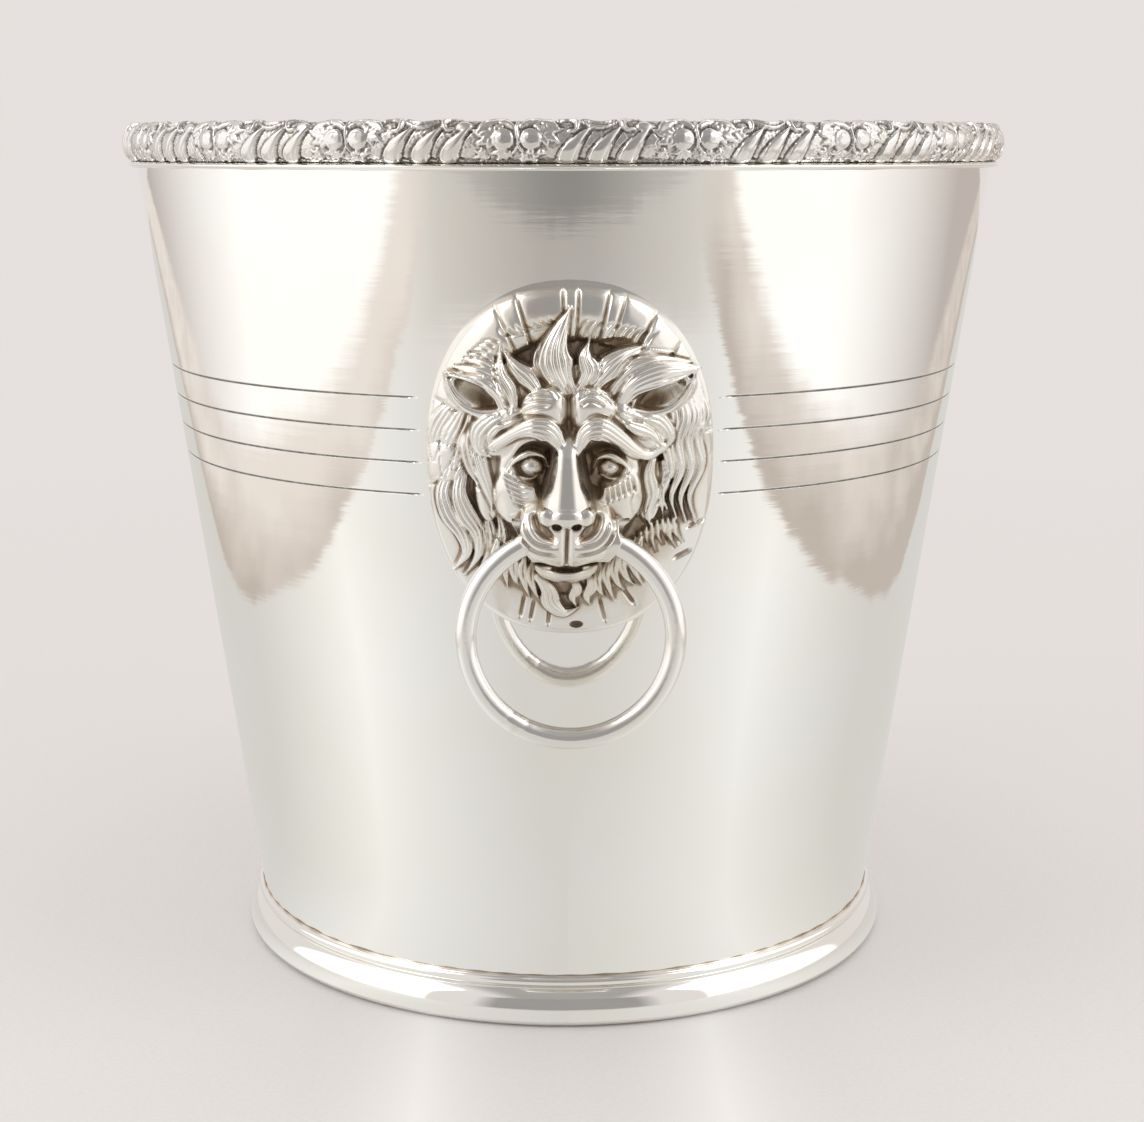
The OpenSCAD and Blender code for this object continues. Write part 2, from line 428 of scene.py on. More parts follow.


# stain colours in the hollows, young and old: warm tarnish in the relief, grey painted shade in the
# engraved lines
GOLD = ((0.64, 0.53, 0.385), (0.3, 0.215, 0.135))
LINE_SHADE = ((0.24, 0.225, 0.2), (0.12, 0.11, 0.095))
EARTH = ((0.4, 0.365, 0.325), (0.12, 0.1, 0.085))
WARM_SHIFT = (0.98, 0.955, 0.91)


def silver(name, tone, rough, tarnish=0.0, ripple=1.0, warmth=1.0, stains=GOLD, onset=0.22):
    """Polished silver: fine wiping scratches, soft ripples of hand work and a light tarnish.

    With tarnish, the point attribute recess, 0 on high spots to 1 in the hollows, says where the
    stain colours sit, from onset upward: tarnish in the relief, painted shade in the engraved lines and
    some mask hollows.
    """
    n = Nodes(name)
    cloud = n.noise(22, 4)
    wipe = n.noise(300, 2, stretch=(1, 1, 14))
    warm = tuple(c * f for c, f in zip(tone, WARM_SHIFT))
    colour = n.mix(n.spread(cloud, 0.42, 0.68, 0, warmth), tone, warm)
    roughness = n.spread(cloud + wipe * 0.5, 0.5, 1, rough * 0.85, rough * 1.25)
    if tarnish:
        depth = Value(n, n.add("ShaderNodeAttribute", attribute_name="recess").outputs["Fac"])
        specks = n.spread(n.noise(420, 3), 0.25, 0.6, 0.75, 1)
        stain = n.math("MULTIPLY", n.spread(depth, onset, 0.85), specks, clamp=True)
        age = depth + (n.noise(90, 3) - 0.5) * 0.9
        colour = n.mix(stain * tarnish, colour, n.mix(n.spread(age, 0.4, 0.95), *stains))
        roughness = n.math("ADD", roughness, stain * 0.3, clamp=True)
    rings = n.noise(330, 2, stretch=(0.07, 0.07, 1))
    height = n.noise(30, 1) * 0.11 + rings * 0.017 + wipe * 0.0015
    return n.set(Base_Color=colour, Metallic=1.0, Roughness=roughness,
                 Normal=n.bump(height, 1.0, 0.001 * ripple))


PLAIN = silver("plain_silver", (0.945, 0.94, 0.92), 0.045, tarnish=0.9, warmth=0.5, stains=LINE_SHADE, onset=0.1)
FOOT = silver("foot_silver", (0.94, 0.93, 0.905), 0.07, tarnish=0.85, warmth=0.5)
INNER = silver("inner_silver", (0.86, 0.85, 0.82), 0.22)
CHASED = silver("chased_silver", (0.87, 0.855, 0.825), 0.19, tarnish=0.9, onset=0.06)
BORDER = silver("border_silver", (0.8, 0.785, 0.765), 0.17, tarnish=0.9, stains=EARTH, onset=0.12)
RING = silver("ring_silver", (0.9, 0.89, 0.87), 0.17, tarnish=0.5, ripple=2.0)
TUBE = silver("tube_silver", (0.5, 0.46, 0.4), 0.35)

# ---------------------------------------------------------------- the lion mask


def mask_grid(columns=360, rows=450):
    """Points that fill the mask's oval outline: a square grid eased into a superellipse."""
    u, v = np.meshgrid(np.linspace(-1, 1, columns), np.linspace(-1, 1, rows))
    x, z = u * np.sqrt(1 - v * v / 2), v * np.sqrt(1 - u * u / 2)
    r = np.hypot(x, z) + 1e-9
    stretch = (np.abs(x / r) ** MASK_POWER + np.abs(z / r) ** MASK_POWER) ** (-1 / MASK_POWER)
    return x * stretch * MASK_HALF_W, z * stretch * MASK_HALF_H


def inset_of(x, z):
    """Distance in from the mask's edge, in millimetres."""
    level = (np.abs(x / MASK_HALF_W) ** MASK_POWER + np.abs(z / MASK_HALF_H) ** MASK_POWER)
    return (1 - level ** (1 / MASK_POWER)) * MASK_MEAN_HALF


def sculpt_plate(r, inset):
    """The plate's rounded edge and its rolled collar, folded into panels round the top."""
    r.h = 2.3 * np.sqrt(np.clip(1 - (1 - np.clip(inset / 1.3, 0, 1)) ** 2, 0, 1))
    r.h += 0.12 * np.clip(inset, 0, 9)
    turn = np.degrees(np.arctan2(r.z / MASK_HALF_H, r.x / MASK_HALF_W))
    turn = np.where(turn < -90, turn + 360, turn)
    collar = smooth((turn - 2) / 10) * smooth((194 - turn) / 10)
    roll = np.sin(np.clip(inset / 10, 0, 1) ** 0.9 * math.pi) ** 0.5
    r.h += 3 * roll * collar
    panels = [(11, 42.5, 0.5, 1.2), (42.5, 55.5, 0.9, 1.6), (55.5, 68.5, 0.4, 0.5), (68.5, 74.5, 0.9, 1),
              (74.5, 87, 0.2, 0), (87, 93, 0.8, 0.4), (93, 111.5, 0.2, 0), (111.5, 120, 0.9, 0.9),
              (120, 158, 0.6, 1.7), (158, 172, 0.2, 1), (172, 187, 0.6, 0.8)]
    inner = smooth((10.6 - inset) / 1.2) * collar
    reach = smooth(inset / 1.3) * inner
    cut = (0.6 + 0.4 * smooth((inset - 1) / 5)) * smooth(inset / 0.6) * inner
    for start, end, lift, tilt in panels:
        across = np.clip((turn - start) / (end - start), 0, 1)
        width = math.radians(end - start) * MASK_MEAN_HALF
        crown = 1 - np.abs(2 * across - 1) ** (2 + width / 2)
        rise = 0.5 * crown + lift * 0.8 + tilt * np.clip(inset / 9, 0, 1)
        r.h += np.where((across > 0) & (across < 1), rise * reach, 0)
        r.h -= 0.42 * np.exp(-((turn - start) * 0.58 / 0.4) ** 2) * cut
    slots = [
        [(-10, -29), (-11.4, -36.2)], [(-7.9, -30.5), (-9.1, -36.8)], [(-4.3, -30.5), (-5.1, -38)],
        [(6.3, -29.8), (8.2, -37.2)], [(10.6, -26.8), (15, -33.2)], [(25.2, -15.2), (30.8, -13)],
        [(22.4, -22.3), (27.6, -19.9)], [(-32.2, -5.7), (-27.4, -3.4)], [(32.2, 7.2), (26.6, 7.7)],
    ]
    for slot in slots:
        r.groove(slot, 0.45, 0.9, fade=0.3)
    r.shade(13, -30, 2.4, 3.2, 0.8, turn=-30)
    r.shade(-6.6, -33.4, 4.6, 3, 0.4)


def sculpt_collar_hair(r):
    """Short strands chased along the collar's inner edge."""
    for i in range(7):
        x = -15.6 + i * 1.75
        strand = [(x, 30.6 + 0.34 * i), (x + 1.6, 28.9 + 0.42 * i), (x + 4.8, 28.6 + 0.5 * i)]
        r.groove(strand, 0.3, 0.7, fade=0.4)
    for i in range(10):
        x = 1.2 + i * 1.6
        strand = [(x + 3.4, 32.4 - 0.3 * i), (x + 1.2, 31.2 - 0.34 * i), (x - 0.2, 28 - 0.3 * i)]
        r.groove(strand, 0.3, 0.75, fade=0.4)
    for i in range(4):
        r.groove([(-22.2 + i, 24.9 + 0.8 * i), (-20 + i, 25.2 + 0.9 * i), (-17.8 + i, 24.2 + i)], 0.3, 0.5)


def sculpt_head(r):
    """The mass of the head under the fur, and the low ground that the mane grows from."""
    r.dome(0, -1, 27, 29, 5.2, 2.6, blend=0.5, power=4)
    r.dome(-0.4, -1.5, 17.6, 20.5, 11.4, 6.4, blend=0.5, power=4)
    for s in (-1, 1):
        r.dome(s * 10.6 - 0.6, -6, 6.4, 7.6, 11.5, 4.2, blend=1.6)
        r.dome(s * 16.4, 7.4, 4.8, 5.4, 10.6, 2, blend=0.6)
        r.dome(s * 4.9 - 0.6, 13.4, 5.9, 5.4, 13.7, 3.4, blend=0.5)
        r.dome(s * 11.6 - 0.8, 11.4, 3.4, 3.4, 11.6, 2.4, blend=0.8)
        r.dome(s * 10.8 - 0.4, 15.6, 3, 3.8, 9.6, 2.4, blend=0.8)
        r.dome(s * 17.4 - 0.4, -4.5, 3.4, 9, 8.4, 2.4, blend=0.8)
    r.dome(-13, 19.2, 3.2, 4.8, 9.4, 2, blend=0.6, turn=-10)
    r.dome(-6, 17, 3, 3, 10, 1.4, blend=0.6)
    r.dome(1.4, 19, 2.2, 4.4, 9.6, 1.6, blend=0.6)
    r.sink(-8, 23, 4.2, 3.2, 5.4, turn=-30, edge=2)
    r.sink(8.4, 26.4, 5.6, 2, 5, turn=8, edge=2)


def sculpt_mane_left(r):
    """Locks of the mane on the viewer's left, from the ear down to the jaw."""
    locks = [
        ([(-24.5, 14), (-27.2, 10.5), (-29.4, 6), (-30, 0.5)], 4.6, [6.6, 7.2, 6.4, 4.4], 3),
        ([(-22.8, 12.5), (-24.6, 8.5), (-26.6, 4), (-27.6, -3)], 4.6, [7.4, 7.8, 7, 5], 3),
        ([(-21.2, 11.5), (-22.4, 6.5), (-23.8, 2), (-25.4, -1)], 3.6, [8.4, 8.4, 7.6, 6], 2),
        ([(-24.4, 0.5), (-27.4, -5.5), (-26.4, -10.5), (-23.4, -15.5), (-22.8, -20), (-25.8, -24.5)], 4.8,
         [5.4, 7.2, 7.8, 7.4, 6.6, 4.6], 3),
        ([(-22.6, 1), (-24.2, -5.5), (-22.9, -10.5), (-20.2, -15), (-20.2, -20), (-23.4, -25.6)], 4.4,
         [6, 8, 8.4, 7.6, 6.8, 4.6], 3),
        ([(-18.6, -10.5), (-17.6, -14), (-17.6, -18.5), (-20, -23.5)], 3, [6.6, 7.2, 6.6, 4.8], 2),
        ([(-15.6, -11), (-14.9, -14.5), (-15.4, -19), (-17.2, -22.5)], 2.6, [7, 7.2, 6.4, 4.6], 1),
        ([(-19.2, 11.5), (-20.8, 6.5), (-19.6, 0.5), (-17.6, -5.5), (-17, -9.6)], 4.2,
         [9, 9.8, 10, 9.6, 8.2], 3),
        ([(-20.8, 9.5), (-22.6, 5), (-21.8, -0.5), (-19.6, -5.2)], 2.6, [8, 8.6, 8.4, 6.6], 1),
    ]
    for points, width, top, strands in locks:
        r.lock(points, width * 1.08, top, strands + 1, cut=0.8, dig=0.45)
    r.shade(-18.6, -12, 3.6, 9, 0.55, turn=-12)
    r.shade(-23.6, -10.5, 1.6, 7, 0.35, turn=-12)
    r.shade(-22.8, 7.6, 1.5, 4, 0.4, turn=14)


def sculpt_mane_right(r):
    """Long wavy locks on the viewer's right, and the short combed hair below them."""
    wave = [(0, 15.5), (1.7, 10.5), (0.3, 5), (1.5, -1), (-0.9, -6.6), (0.7, -11.6)]
    places = [(27, 6.6, -15.6), (24.9, 7.6, -15), (22.7, 8.4, -13.4), (20.6, 8.8, -10.6)]
    for i, (x, top, low) in enumerate(places):
        shape = [(x + dx * (1 - 0.1 * i), z * (1 if z > 0 else low / -12.4) + 1 - 0.3 * i)
                 for dx, z in wave]
        r.lock(shape, 3.9, [top - 0.8, top, top + 0.4, top, top + 0.2, top - 1.6], 3, root=0.6,
               crown=1.5, belly=0.25, cut=0.8, dig=0.1, tip=0.2)
    r.lock([(17.8, 2.6), (17, -1.5), (17.8, -6), (16.8, -10), (17.6, -14)], 3.6,
           [9.4, 9.8, 9.4, 8.6, 6.4], 3, cut=0.8, dig=0.4)
    r.lock([(20, 1), (20.6, -3), (19.8, -7), (20.4, -12)], 2.4, [8.2, 8.8, 8.2, 6.4], 2, dig=0.4)
    r.lock([(14.6, -3.6), (14.2, -7.5), (14.8, -11.5)], 2.4, [9.4, 9.2, 7.4], 2, dig=0.4)
    for i in range(9):
        f = i / 8
        x, z = 22.6 - 9.6 * f, -12.2 - 5.4 * f + 1.8 * math.sin(math.pi * f)
        long = 6.2 + 1.3 * math.sin(i * 2.1)
        r.lock([(x, z), (x + 0.5 - 0.7 * f, z - 0.5 * long), (x + 2.4 - 2.2 * f, z - long)], 1.8 - 0.2 * f,
               [6.8, 6.2, 3], 1, crown=0.9, dig=0.5, tip=0.15, belly=0.3)
    r.shade(18.6, -17.6, 6.8, 4.6, 1, turn=-32)
    r.shade(15.2, -10.5, 2.2, 6, 0.45, turn=8)
    r.shade(21.6, 4, 1.2, 5, 0.35)


def sculpt_beard(r):
    """Tufts that fall from the jaw, and the curled one in the middle."""
    r.dome(0, -22.5, 18.5, 7.5, 5.6, 2.6, blend=1.2)
    tufts = [(-16, -18.6, -0.6, 2.8), (-14, -19.8, 0.2, 2.9), (-12, -21, 0.6, 3),
             (-10, -22.2, 1, 2.9), (-8.2, -23.2, 1.4, 2.8), (6.4, -23.6, 1.2, 2.7), (8.2, -22.8, 1.6, 2.8),
             (10, -21.8, 2, 2.9), (11.8, -20.6, 2.4, 2.9), (13.6, -19.4, 2.6, 2.8), (15.4, -18.2, 2.8, 2.6)]
    for k, (x, z, lean, width) in enumerate(tufts):
        long = 7.4 + 1.1 * math.sin(k * 2.3)
        points = [(x, z + 2), (x - 0.5, z - 1.4), (x - 0.3 + lean * 0.35, z - 4.6), (x + lean, z - long)]
        r.lock(points, width, [7.6, 7.6, 6.8, 4.8], 2, dig=0.15, cut=0.7, belly=0.3)
    r.lock([(3.8, -24.2), (4.6, -27), (3.6, -29.6), (4.4, -32)], 3, [7.8, 7.4, 6.6, 5], 3, dig=0.2)
    r.lock([(0.2, -24.6), (1.4, -27.4), (0.4, -29.8), (1.4, -32.4)], 3, [8, 7.6, 6.8, 5], 3, dig=0.2)
    r.lock([(-6.8, -24.8), (-4.8, -28), (-4, -31.2), (-1.4, -33.4), (1.8, -32.4)], 4.6,
           [8.4, 8, 7.4, 6.4, 5.4], 5, cut=0.8, dig=0.25)
    for x, z in ((-12, -23), (-8.2, -25.6), (5.2, -26.4), (9.2, -24.6), (13, -22.4)):
        r.shade(x, z, 2.4, 3.6, 0.9)
    r.shade(0, -25.5, 18, 8, 1)


def sculpt_brows(r):
    """Forehead furrow, fine wrinkles over its two swellings, and the drooping brows."""
    wrinkles = [
        [(-11.4, 13.9), (-8.3, 16.4), (-3.4, 16.9)], [(-12.2, 12.6), (-9.1, 15), (-2.9, 15.7)],
        [(-10.8, 12.4), (-8, 13.7), (-4, 14.4)], [(1.2, 16.2), (3.8, 18), (7.8, 16.5), (9.6, 14.6)],
        [(1.1, 15), (3.8, 16.9), (7, 15.8), (8.8, 13.8)], [(1.8, 14), (4, 15.5), (7.2, 14)],
        [(9.4, 13.2), (10.4, 11.4), (12.6, 10)], [(8, 12.6), (9.6, 10.9), (12.2, 9)],
    ]
    for points in wrinkles:
        r.groove(points, 0.33, 0.7, fade=0.25)
    r.groove([(-14.2, 10.4), (-10.4, 11.9), (-6.2, 12.1), (-2.6, 10.4)], 0.45, 0.9, fade=0.3)
    r.groove([(13.2, 7.4), (9.4, 10.2), (6, 12.2), (2.6, 11.6)], 0.45, 0.9, fade=0.3)
    r.lock([(-1.7, 4.4), (-4.2, 8.4), (-8.1, 9.5), (-12, 8.1), (-16.6, 5)], 5.6,
           [13.6, 14.6, 14.8, 13.4, 11], 5, root=0.5, crown=1.7, tip=0.5, cut=0.8, dig=0.2, belly=0.35)
    r.lock([(1.4, 4.6), (3.2, 8.3), (6.6, 9.1), (10.1, 6.9), (13.6, 4.1), (16.6, 3), (19.8, 4.6)], 5.6,
           [13.6, 14.6, 14.8, 13.8, 12.6, 11.4, 10], 5, root=0.5, crown=1.7, tip=0.45, cut=0.8, dig=0.2,
           belly=0.3)
    r.slide(-0.4)
    wide = np.interp(r.z, [3, 6, 9, 13, 17, 21], [0.45, 0.5, 0.95, 1.25, 1, 0.7])
    deep = np.interp(r.z, [1.6, 4, 7, 11, 15, 18, 20.5], [0, 1, 1.5, 1.6, 1.4, 0.9, 0])
    r.h -= deep * np.exp(-np.abs(r.x / wide) ** 1.6)
    r.slide(0)
    r.shade(-0.4, 11.6, 1.5, 5.6, 0.45)


def sculpt_eyes(r):
    """Deep sockets that slant down to the nose, with small eyeballs under heavy lids."""
    r.slide(-0.3)
    for s in (-1, 1):
        r.sink(s * 7, 1.3, 5.6, 5.4, 6.4, turn=s * -14, edge=3.2)
        # painted shade under the brow's overhang
        r.shade(s * 6.4, 4.9, 4.2, 1.5, 1, turn=s * -14)
        r.sink(s * 4.9, -2.6, 2.6, 4.4, 6.4, turn=s * 14, edge=2.8)
        r.sink(s * 3.8, 1, 1.9, 3.6, 4.8, edge=2.6)
        # patina and painted shade in the deep sockets beside the nose
        r.shade(s * 5.2, -0.6, 3.6, 4.6, 0.75, turn=s * 14)
        r.shade(s * 4.2, 1.4, 1.9, 3.8, 0.5)
    r.dome(-8.2, 0.4, 2.9, 2.4, 10.5, 3.8, blend=0.15, power=2.2, turn=-8)
    r.dome(8.8, 0.1, 2.7, 2.2, 10.1, 3.8, blend=0.15, power=2.2, turn=8)
    upper = [
        ([(-13.4, -0.4), (-11.6, 2), (-8.6, 3.6), (-5.6, 2.8), (-4.6, 0.4)], 1.7,
         [10.4, 11.2, 11.4, 10.4, 8.6], 1),
        ([(13, -0.8), (11.6, 1.4), (8.8, 3), (6.2, 2.4), (5.2, 0.2)], 1.8,
         [10.4, 11.2, 11.2, 10.2, 8.4], 1),
    ]
    lower = [
        ([(-13.2, -0.5), (-11, -1.7), (-8.4, -2.2), (-5.9, -1.2)], 1, [10.2, 10, 9.4, 8.4], 1),
        ([(13, -0.9), (11.2, -1.9), (8.8, -2.2), (6.6, -1.4)], 1, [10.2, 10, 9.4, 8.4], 1),
    ]
    r.locks(upper, crown=0.8, tip=0.4, dig=0.35)
    r.locks(lower, crown=0.5, tip=0.4, dig=0.3)
    r.slide(0)


def sculpt_cheeks(r):
    """Short strokes of fur below the eyes, combed outward on one side and down on the other."""
    for i in range(6):
        x, z = 7.4 + 1.15 * i, -1 - 1.15 * i
        left = [(-9.4 + 0.25 * i, z - 1.5), (-12.2 + 0.25 * i, z - 1.1)]
        left += [(-15.6 + 0.55 * i, z + 0.9 - 0.1 * i)]
        right = [(x - 0.3, -3.2 + 0.45 * i), (x + 0.35, -5.4 + 0.4 * i), (x + 0.3 + 0.1 * i, -8 + 0.5 * i)]
        r.groove(left, 0.3, 0.8, fade=0.4)
        r.groove(right, 0.3, 0.85, fade=0.4)
    r.shade(11.4, -9.2, 3.6, 1.8, 0.35, turn=-15)


def sculpt_nose(r):
    """The bridge: a flat front between two bright facets, widening down to the tip."""
    r.slide(-0.9)
    z = r.z
    flat = np.interp(z, [-10, -6, -2, 3, 8], [2.3, 1.9, 1.5, 1.15, 1])
    half = np.interp(z, [-11, -9, -6, -3, 1, 5, 9], [5.6, 5.7, 4.7, 3.2, 2.3, 2.1, 1.6])
    level = np.interp(z, [-12, -11, -9.6, -7, -3, 1, 3.4, 5.4, 7, 9],
                      [16.8, 18.6, 19.5, 19.2, 17.8, 16.4, 15.3, 13.9, 12.2, 9.4])
    x = np.abs(r.x)
    slope = soft_max(x - flat, 0, 0.5)
    side = level - 0.05 * x ** 2 - slope * 0.55 - 4 * np.clip(x / half - 0.84, 0, 1) ** 1.4 * half
    part = (z > -12) & (z < 9) & (x < half * 1.8)
    r.h = np.where(part, soft_max(r.h, side, 0.5), r.h)
    r.slide(0)


def tube_end(z):
    """How far out the tube's end lies at a height, where it is trimmed to the muzzle's round corner."""
    return np.interp(z, [-19.6, -17.6, -15.4, -13], [8.4, 9.8, 10.8, tube_high[0]])


def sculpt_muzzle(r):
    """Whisker pads with chased lines, the split lip, the mouth and the chin."""
    r.slide(-1)
    x, z = np.abs(r.x), r.z
    half = np.interp(z, [-21.2, -20.7, -20.1, -19.2, -18, -16.6, -14.5, -12, -9, -6, -2],
                     [1.5, 3.6, 5.6, 7.5, 9.2, 10.2, 10.8, 10.75, 9.95, 8.6, 6.4])
    ratio = np.clip(x / half, 0, 1)
    top = 18.3 - 2.6 * ratio ** 3.2 - 0.8 * np.exp(-(x / 0.9) ** 2)
    top -= 2.6 * np.clip((-16.8 - z) / 4.2, 0, 1.3) ** 2 + 6 * np.clip((z + 12.5) / 6, 0, 1.9) ** 1.5
    cover = TUBE_R + 0.55
    boss = np.sqrt(np.clip(cover ** 2 - (z - PIVOT_Z + MASK_Z) ** 2, 0, None)) - RING_Y
    boss = boss - np.sqrt(wall_r(MASK_Z + z) ** 2 - r.home ** 2)
    boss *= smooth((tube_end(z) + 0.7 - np.abs(r.home)) / 0.6)
    r.h = np.maximum(r.h, np.where(np.abs(z - PIVOT_Z + MASK_Z) < cover * 0.94, boss, 0))
    wall = smooth((half - x) / 0.9) * smooth((z + 21.3) / 0.4)
    pads = np.where((z > -22) & (z < -1.2), top, 0)
    r.h = np.maximum(r.h, r.h + (pads - r.h) * wall)
    r.dome(0, -10, 5, 2.2, 19.2, 2.8, blend=1.2, power=2.2)
    for s in (-1, 1):
        r.dome(s * 4.3, -9.4, 2.1, 2.2, 19, 1.6, blend=0.4)
    for path in both([(6.7, -8.4), (6.4, -11.2), (4.6, -13.4), (1.5, -14.9)]):
        r.groove(path, 0.8, 2.1, fade=0.22)
    for s in (-1, 1):
        r.sink(s * 2.1, -11.4, 1.25, 0.85, 15.6, turn=s * 14)
        r.sink(s * 4.4, -12.3, 2.2, 1, 15.9, turn=s * 44)
        # painted shade in the nostrils, and at the muzzle's lower corners below the pads
        r.shade(s * 4.4, -12.4, 2.4, 1.3, 0.5, turn=s * 44)
        r.shade(s * 2.1, -11.4, 1.3, 0.9, 0.8, turn=s * 14)
        r.shade(s * 9.8, -19.2, 2.6, 2, 0.9)
    for points, depth in (([(9.2, -10), (8.3, -13.2), (6.1, -15.2), (1.2, -16)], 0.8),
                          ([(10.4, -12.4), (9, -15.2), (6.2, -17.1), (0.9, -17.8)], 0.8)):
        for path in both(points):
            r.groove(path, 0.34, depth, fade=0.18)
    r.groove([(0.2, -12), (0, -15.6), (-0.1, -20.8)], 0.26, 1, fade=0.1)
    chin = r.radius(0, -21.6, 7, 3.9)
    lip = 15.4 - 5 * np.clip(chin, 0, 1) ** 2.4
    r.h = np.where((chin < 1) & (z < -21.1), np.maximum(r.h, lip), r.h)
    r.sink(0.1, -21.5, 3.7, 0.85, 12.2, edge=4)
    # painted shade in the mouth's slit
    r.shade(0.1, -21.5, 3.8, 0.8, 0.9)
    r.groove([(-7.8, -20.6), (-4.5, -21.5), (0, -21.6), (4.5, -21.5), (7.6, -20.4)], 0.36, 1.1, fade=0.15)
    r.slide(0)


def sculpt_ears(r):
    """Each ear: an almond with a thick rolled rim round a dark hollow, deepest beside the face."""
    ears = [
        (-1, (-20.2, 15.9, 6.2, 3.5, -30),
         [(-14.6, 12.8), (-15.4, 15.8), (-17.6, 18), (-21.6, 19.3), (-26.8, 20.6)],
         [(-15.2, 12.6), (-19.4, 12), (-23.2, 13.6), (-25.6, 16.8), (-26.8, 20.6)]),
        (1, (19.4, 15.6, 7, 3.2, 26),
         [(10.8, 14), (13.6, 16.8), (18.4, 18.3), (22.6, 19.2), (26.8, 21)],
         [(11.2, 13.4), (16.4, 11.9), (21.4, 13), (24.8, 16.6), (26.6, 20.8)]),
    ]
    for s, (cx, cz, rx, rz, turn), over, under in ears:
        r.dome(cx, cz, rx + 1.5, rz + 1.3, 10, 1.6, blend=0.3, turn=turn)
        away = (r.x - cx) * s / rx - (r.z - cz) / rz * 0.7
        floor = 5.2 + 4.9 * smooth((away + 0.3) / 1.1)
        ring = np.clip(r.radius(cx, cz, rx, rz, turn), 0, 1)
        r.h = r.h + (np.minimum(r.h, floor) - r.h) * smooth((1 - ring) * 2.6)
        r.shade(cx - s * 2.2, cz - 0.9, 3.2, 2.6, 0.8, turn=turn)
        r.shade(cx + s * 3.8, cz - 0.2, 4, 4.2, -1, turn=turn)
        rim = dict(tip=0.3, belly=0.2, dig=0.3)
        r.lock(over, 2.5, [10.6, 11.4, 11.6, 11, 9.4], 2, root=0.8, crown=0.9, **rim)
        r.lock(under, 2.3, [10.4, 10.6, 10.6, 10.4, 9.4], 1, root=0.7, crown=1.2, **rim)


def sculpt_crown(r):
    """Flame-like locks that rise from the forehead and sweep over the ears."""
    locks = [
        ([(-14, 17.5), (-16.6, 21.8), (-18.8, 23.8), (-21.6, 24.9)], 3.6, [9, 9.4, 8.4, 6.4], 3),
        ([(-13.4, 15.5), (-16.2, 20.4), (-19.2, 22.6), (-23, 23.6)], 3.8, [9.6, 10.2, 9.4, 7.4], 3),
        ([(-13.2, 13.6), (-16, 18.6), (-20, 21), (-25, 21.8)], 3.8, [10.2, 11, 10.4, 8.4], 3),
        ([(-13.8, 12.4), (-15.8, 16.6), (-19.4, 19.2), (-26.6, 20)], 3.6, [10.8, 11.6, 11.2, 9.2], 3),
        ([(-11.8, 12.6), (-12.8, 17), (-14.9, 21.2), (-14.9, 26.8)], 3.8, [11.2, 11.2, 10.2, 7.6], 3),
        ([(-6.6, 16.6), (-8.8, 19.6), (-11.8, 22.2), (-14.4, 25.6)], 4.8, [11.8, 11.2, 10.2, 8], 4),
        ([(7.4, 17.6), (11.8, 22), (16.4, 24.2), (21.8, 25)], 4.8, [9.2, 9.8, 9.2, 7], 4),
        ([(8.6, 16.4), (12.6, 20.6), (18, 22.8), (26, 22.8)], 5.4, [10, 11, 10.6, 8], 5),
        ([(10.2, 14.2), (13.6, 18.4), (19.2, 20.6), (24.4, 21.2), (28.2, 21.6)], 5.4,
         [10.6, 11.8, 11.6, 10.6, 8.6], 5),
        ([(4.6, 17.8), (7.4, 21.4), (10.6, 24.2), (15.6, 26.6)], 5.6, [11.2, 11.4, 10.4, 7.8], 5),
        ([(-4.4, 18.4), (-6.6, 21.8), (-7.2, 24.6), (-5.8, 28)], 2.8, [10.8, 10.4, 9.4, 7.4], 2),
        ([(1.8, 17.6), (3.9, 21.2), (3, 24.4), (3.9, 27.8)], 5, [11.2, 11.6, 10.8, 8.2], 4),
        ([(-0.6, 16.9), (-3, 22), (-3.2, 27), (-0.2, 34.6)], 8, [11.8, 12.2, 11.4, 8.2], 6),
    ]
    r.locks(locks, crown=2, cut=0.9, dig=0.5)
    r.shade(-8.6, 23.4, 4, 3, 0.45, turn=-35)
    r.shade(9.6, 27, 5.4, 1.5, 0.6, turn=10)
    r.shade(-15.4, 27, 3.6, 1.6, 0.5, turn=-10)
    r.shade(1.6, 26.5, 1, 3.4, 0.5)


def sculpt_temples(r):
    """Locks that curl beside the brows."""
    r.lock([(-13.4, 12.2), (-17, 10.6), (-19.6, 7.8), (-19.6, 4.2), (-17.2, 2.4)], 4.6,
           [11.2, 11.6, 11.2, 10.6, 9.8], 4, cut=0.8, dig=0.3)
    r.lock([(-13, 10), (-16, 8.8), (-17.4, 6.4), (-16.4, 4)], 2.2, [11.6, 11.6, 11.2, 10.4], 2, dig=0.3)
    r.lock([(12.4, 11.8), (15.8, 11.4), (19.4, 10), (21.4, 6.6), (19.8, 3.6)], 4.2,
           [11.2, 11.2, 10.8, 10.2, 9.4], 4, cut=0.8, dig=0.3)
    r.lock([(10.8, 10.6), (14, 9), (17.2, 7.6), (19.4, 5.2)], 3.4, [12, 11.8, 11.2, 10.4], 3, cut=0.8,
           dig=0.3)
    r.shade(18.6, 0.4, 2.4, 1.6, 0.5)


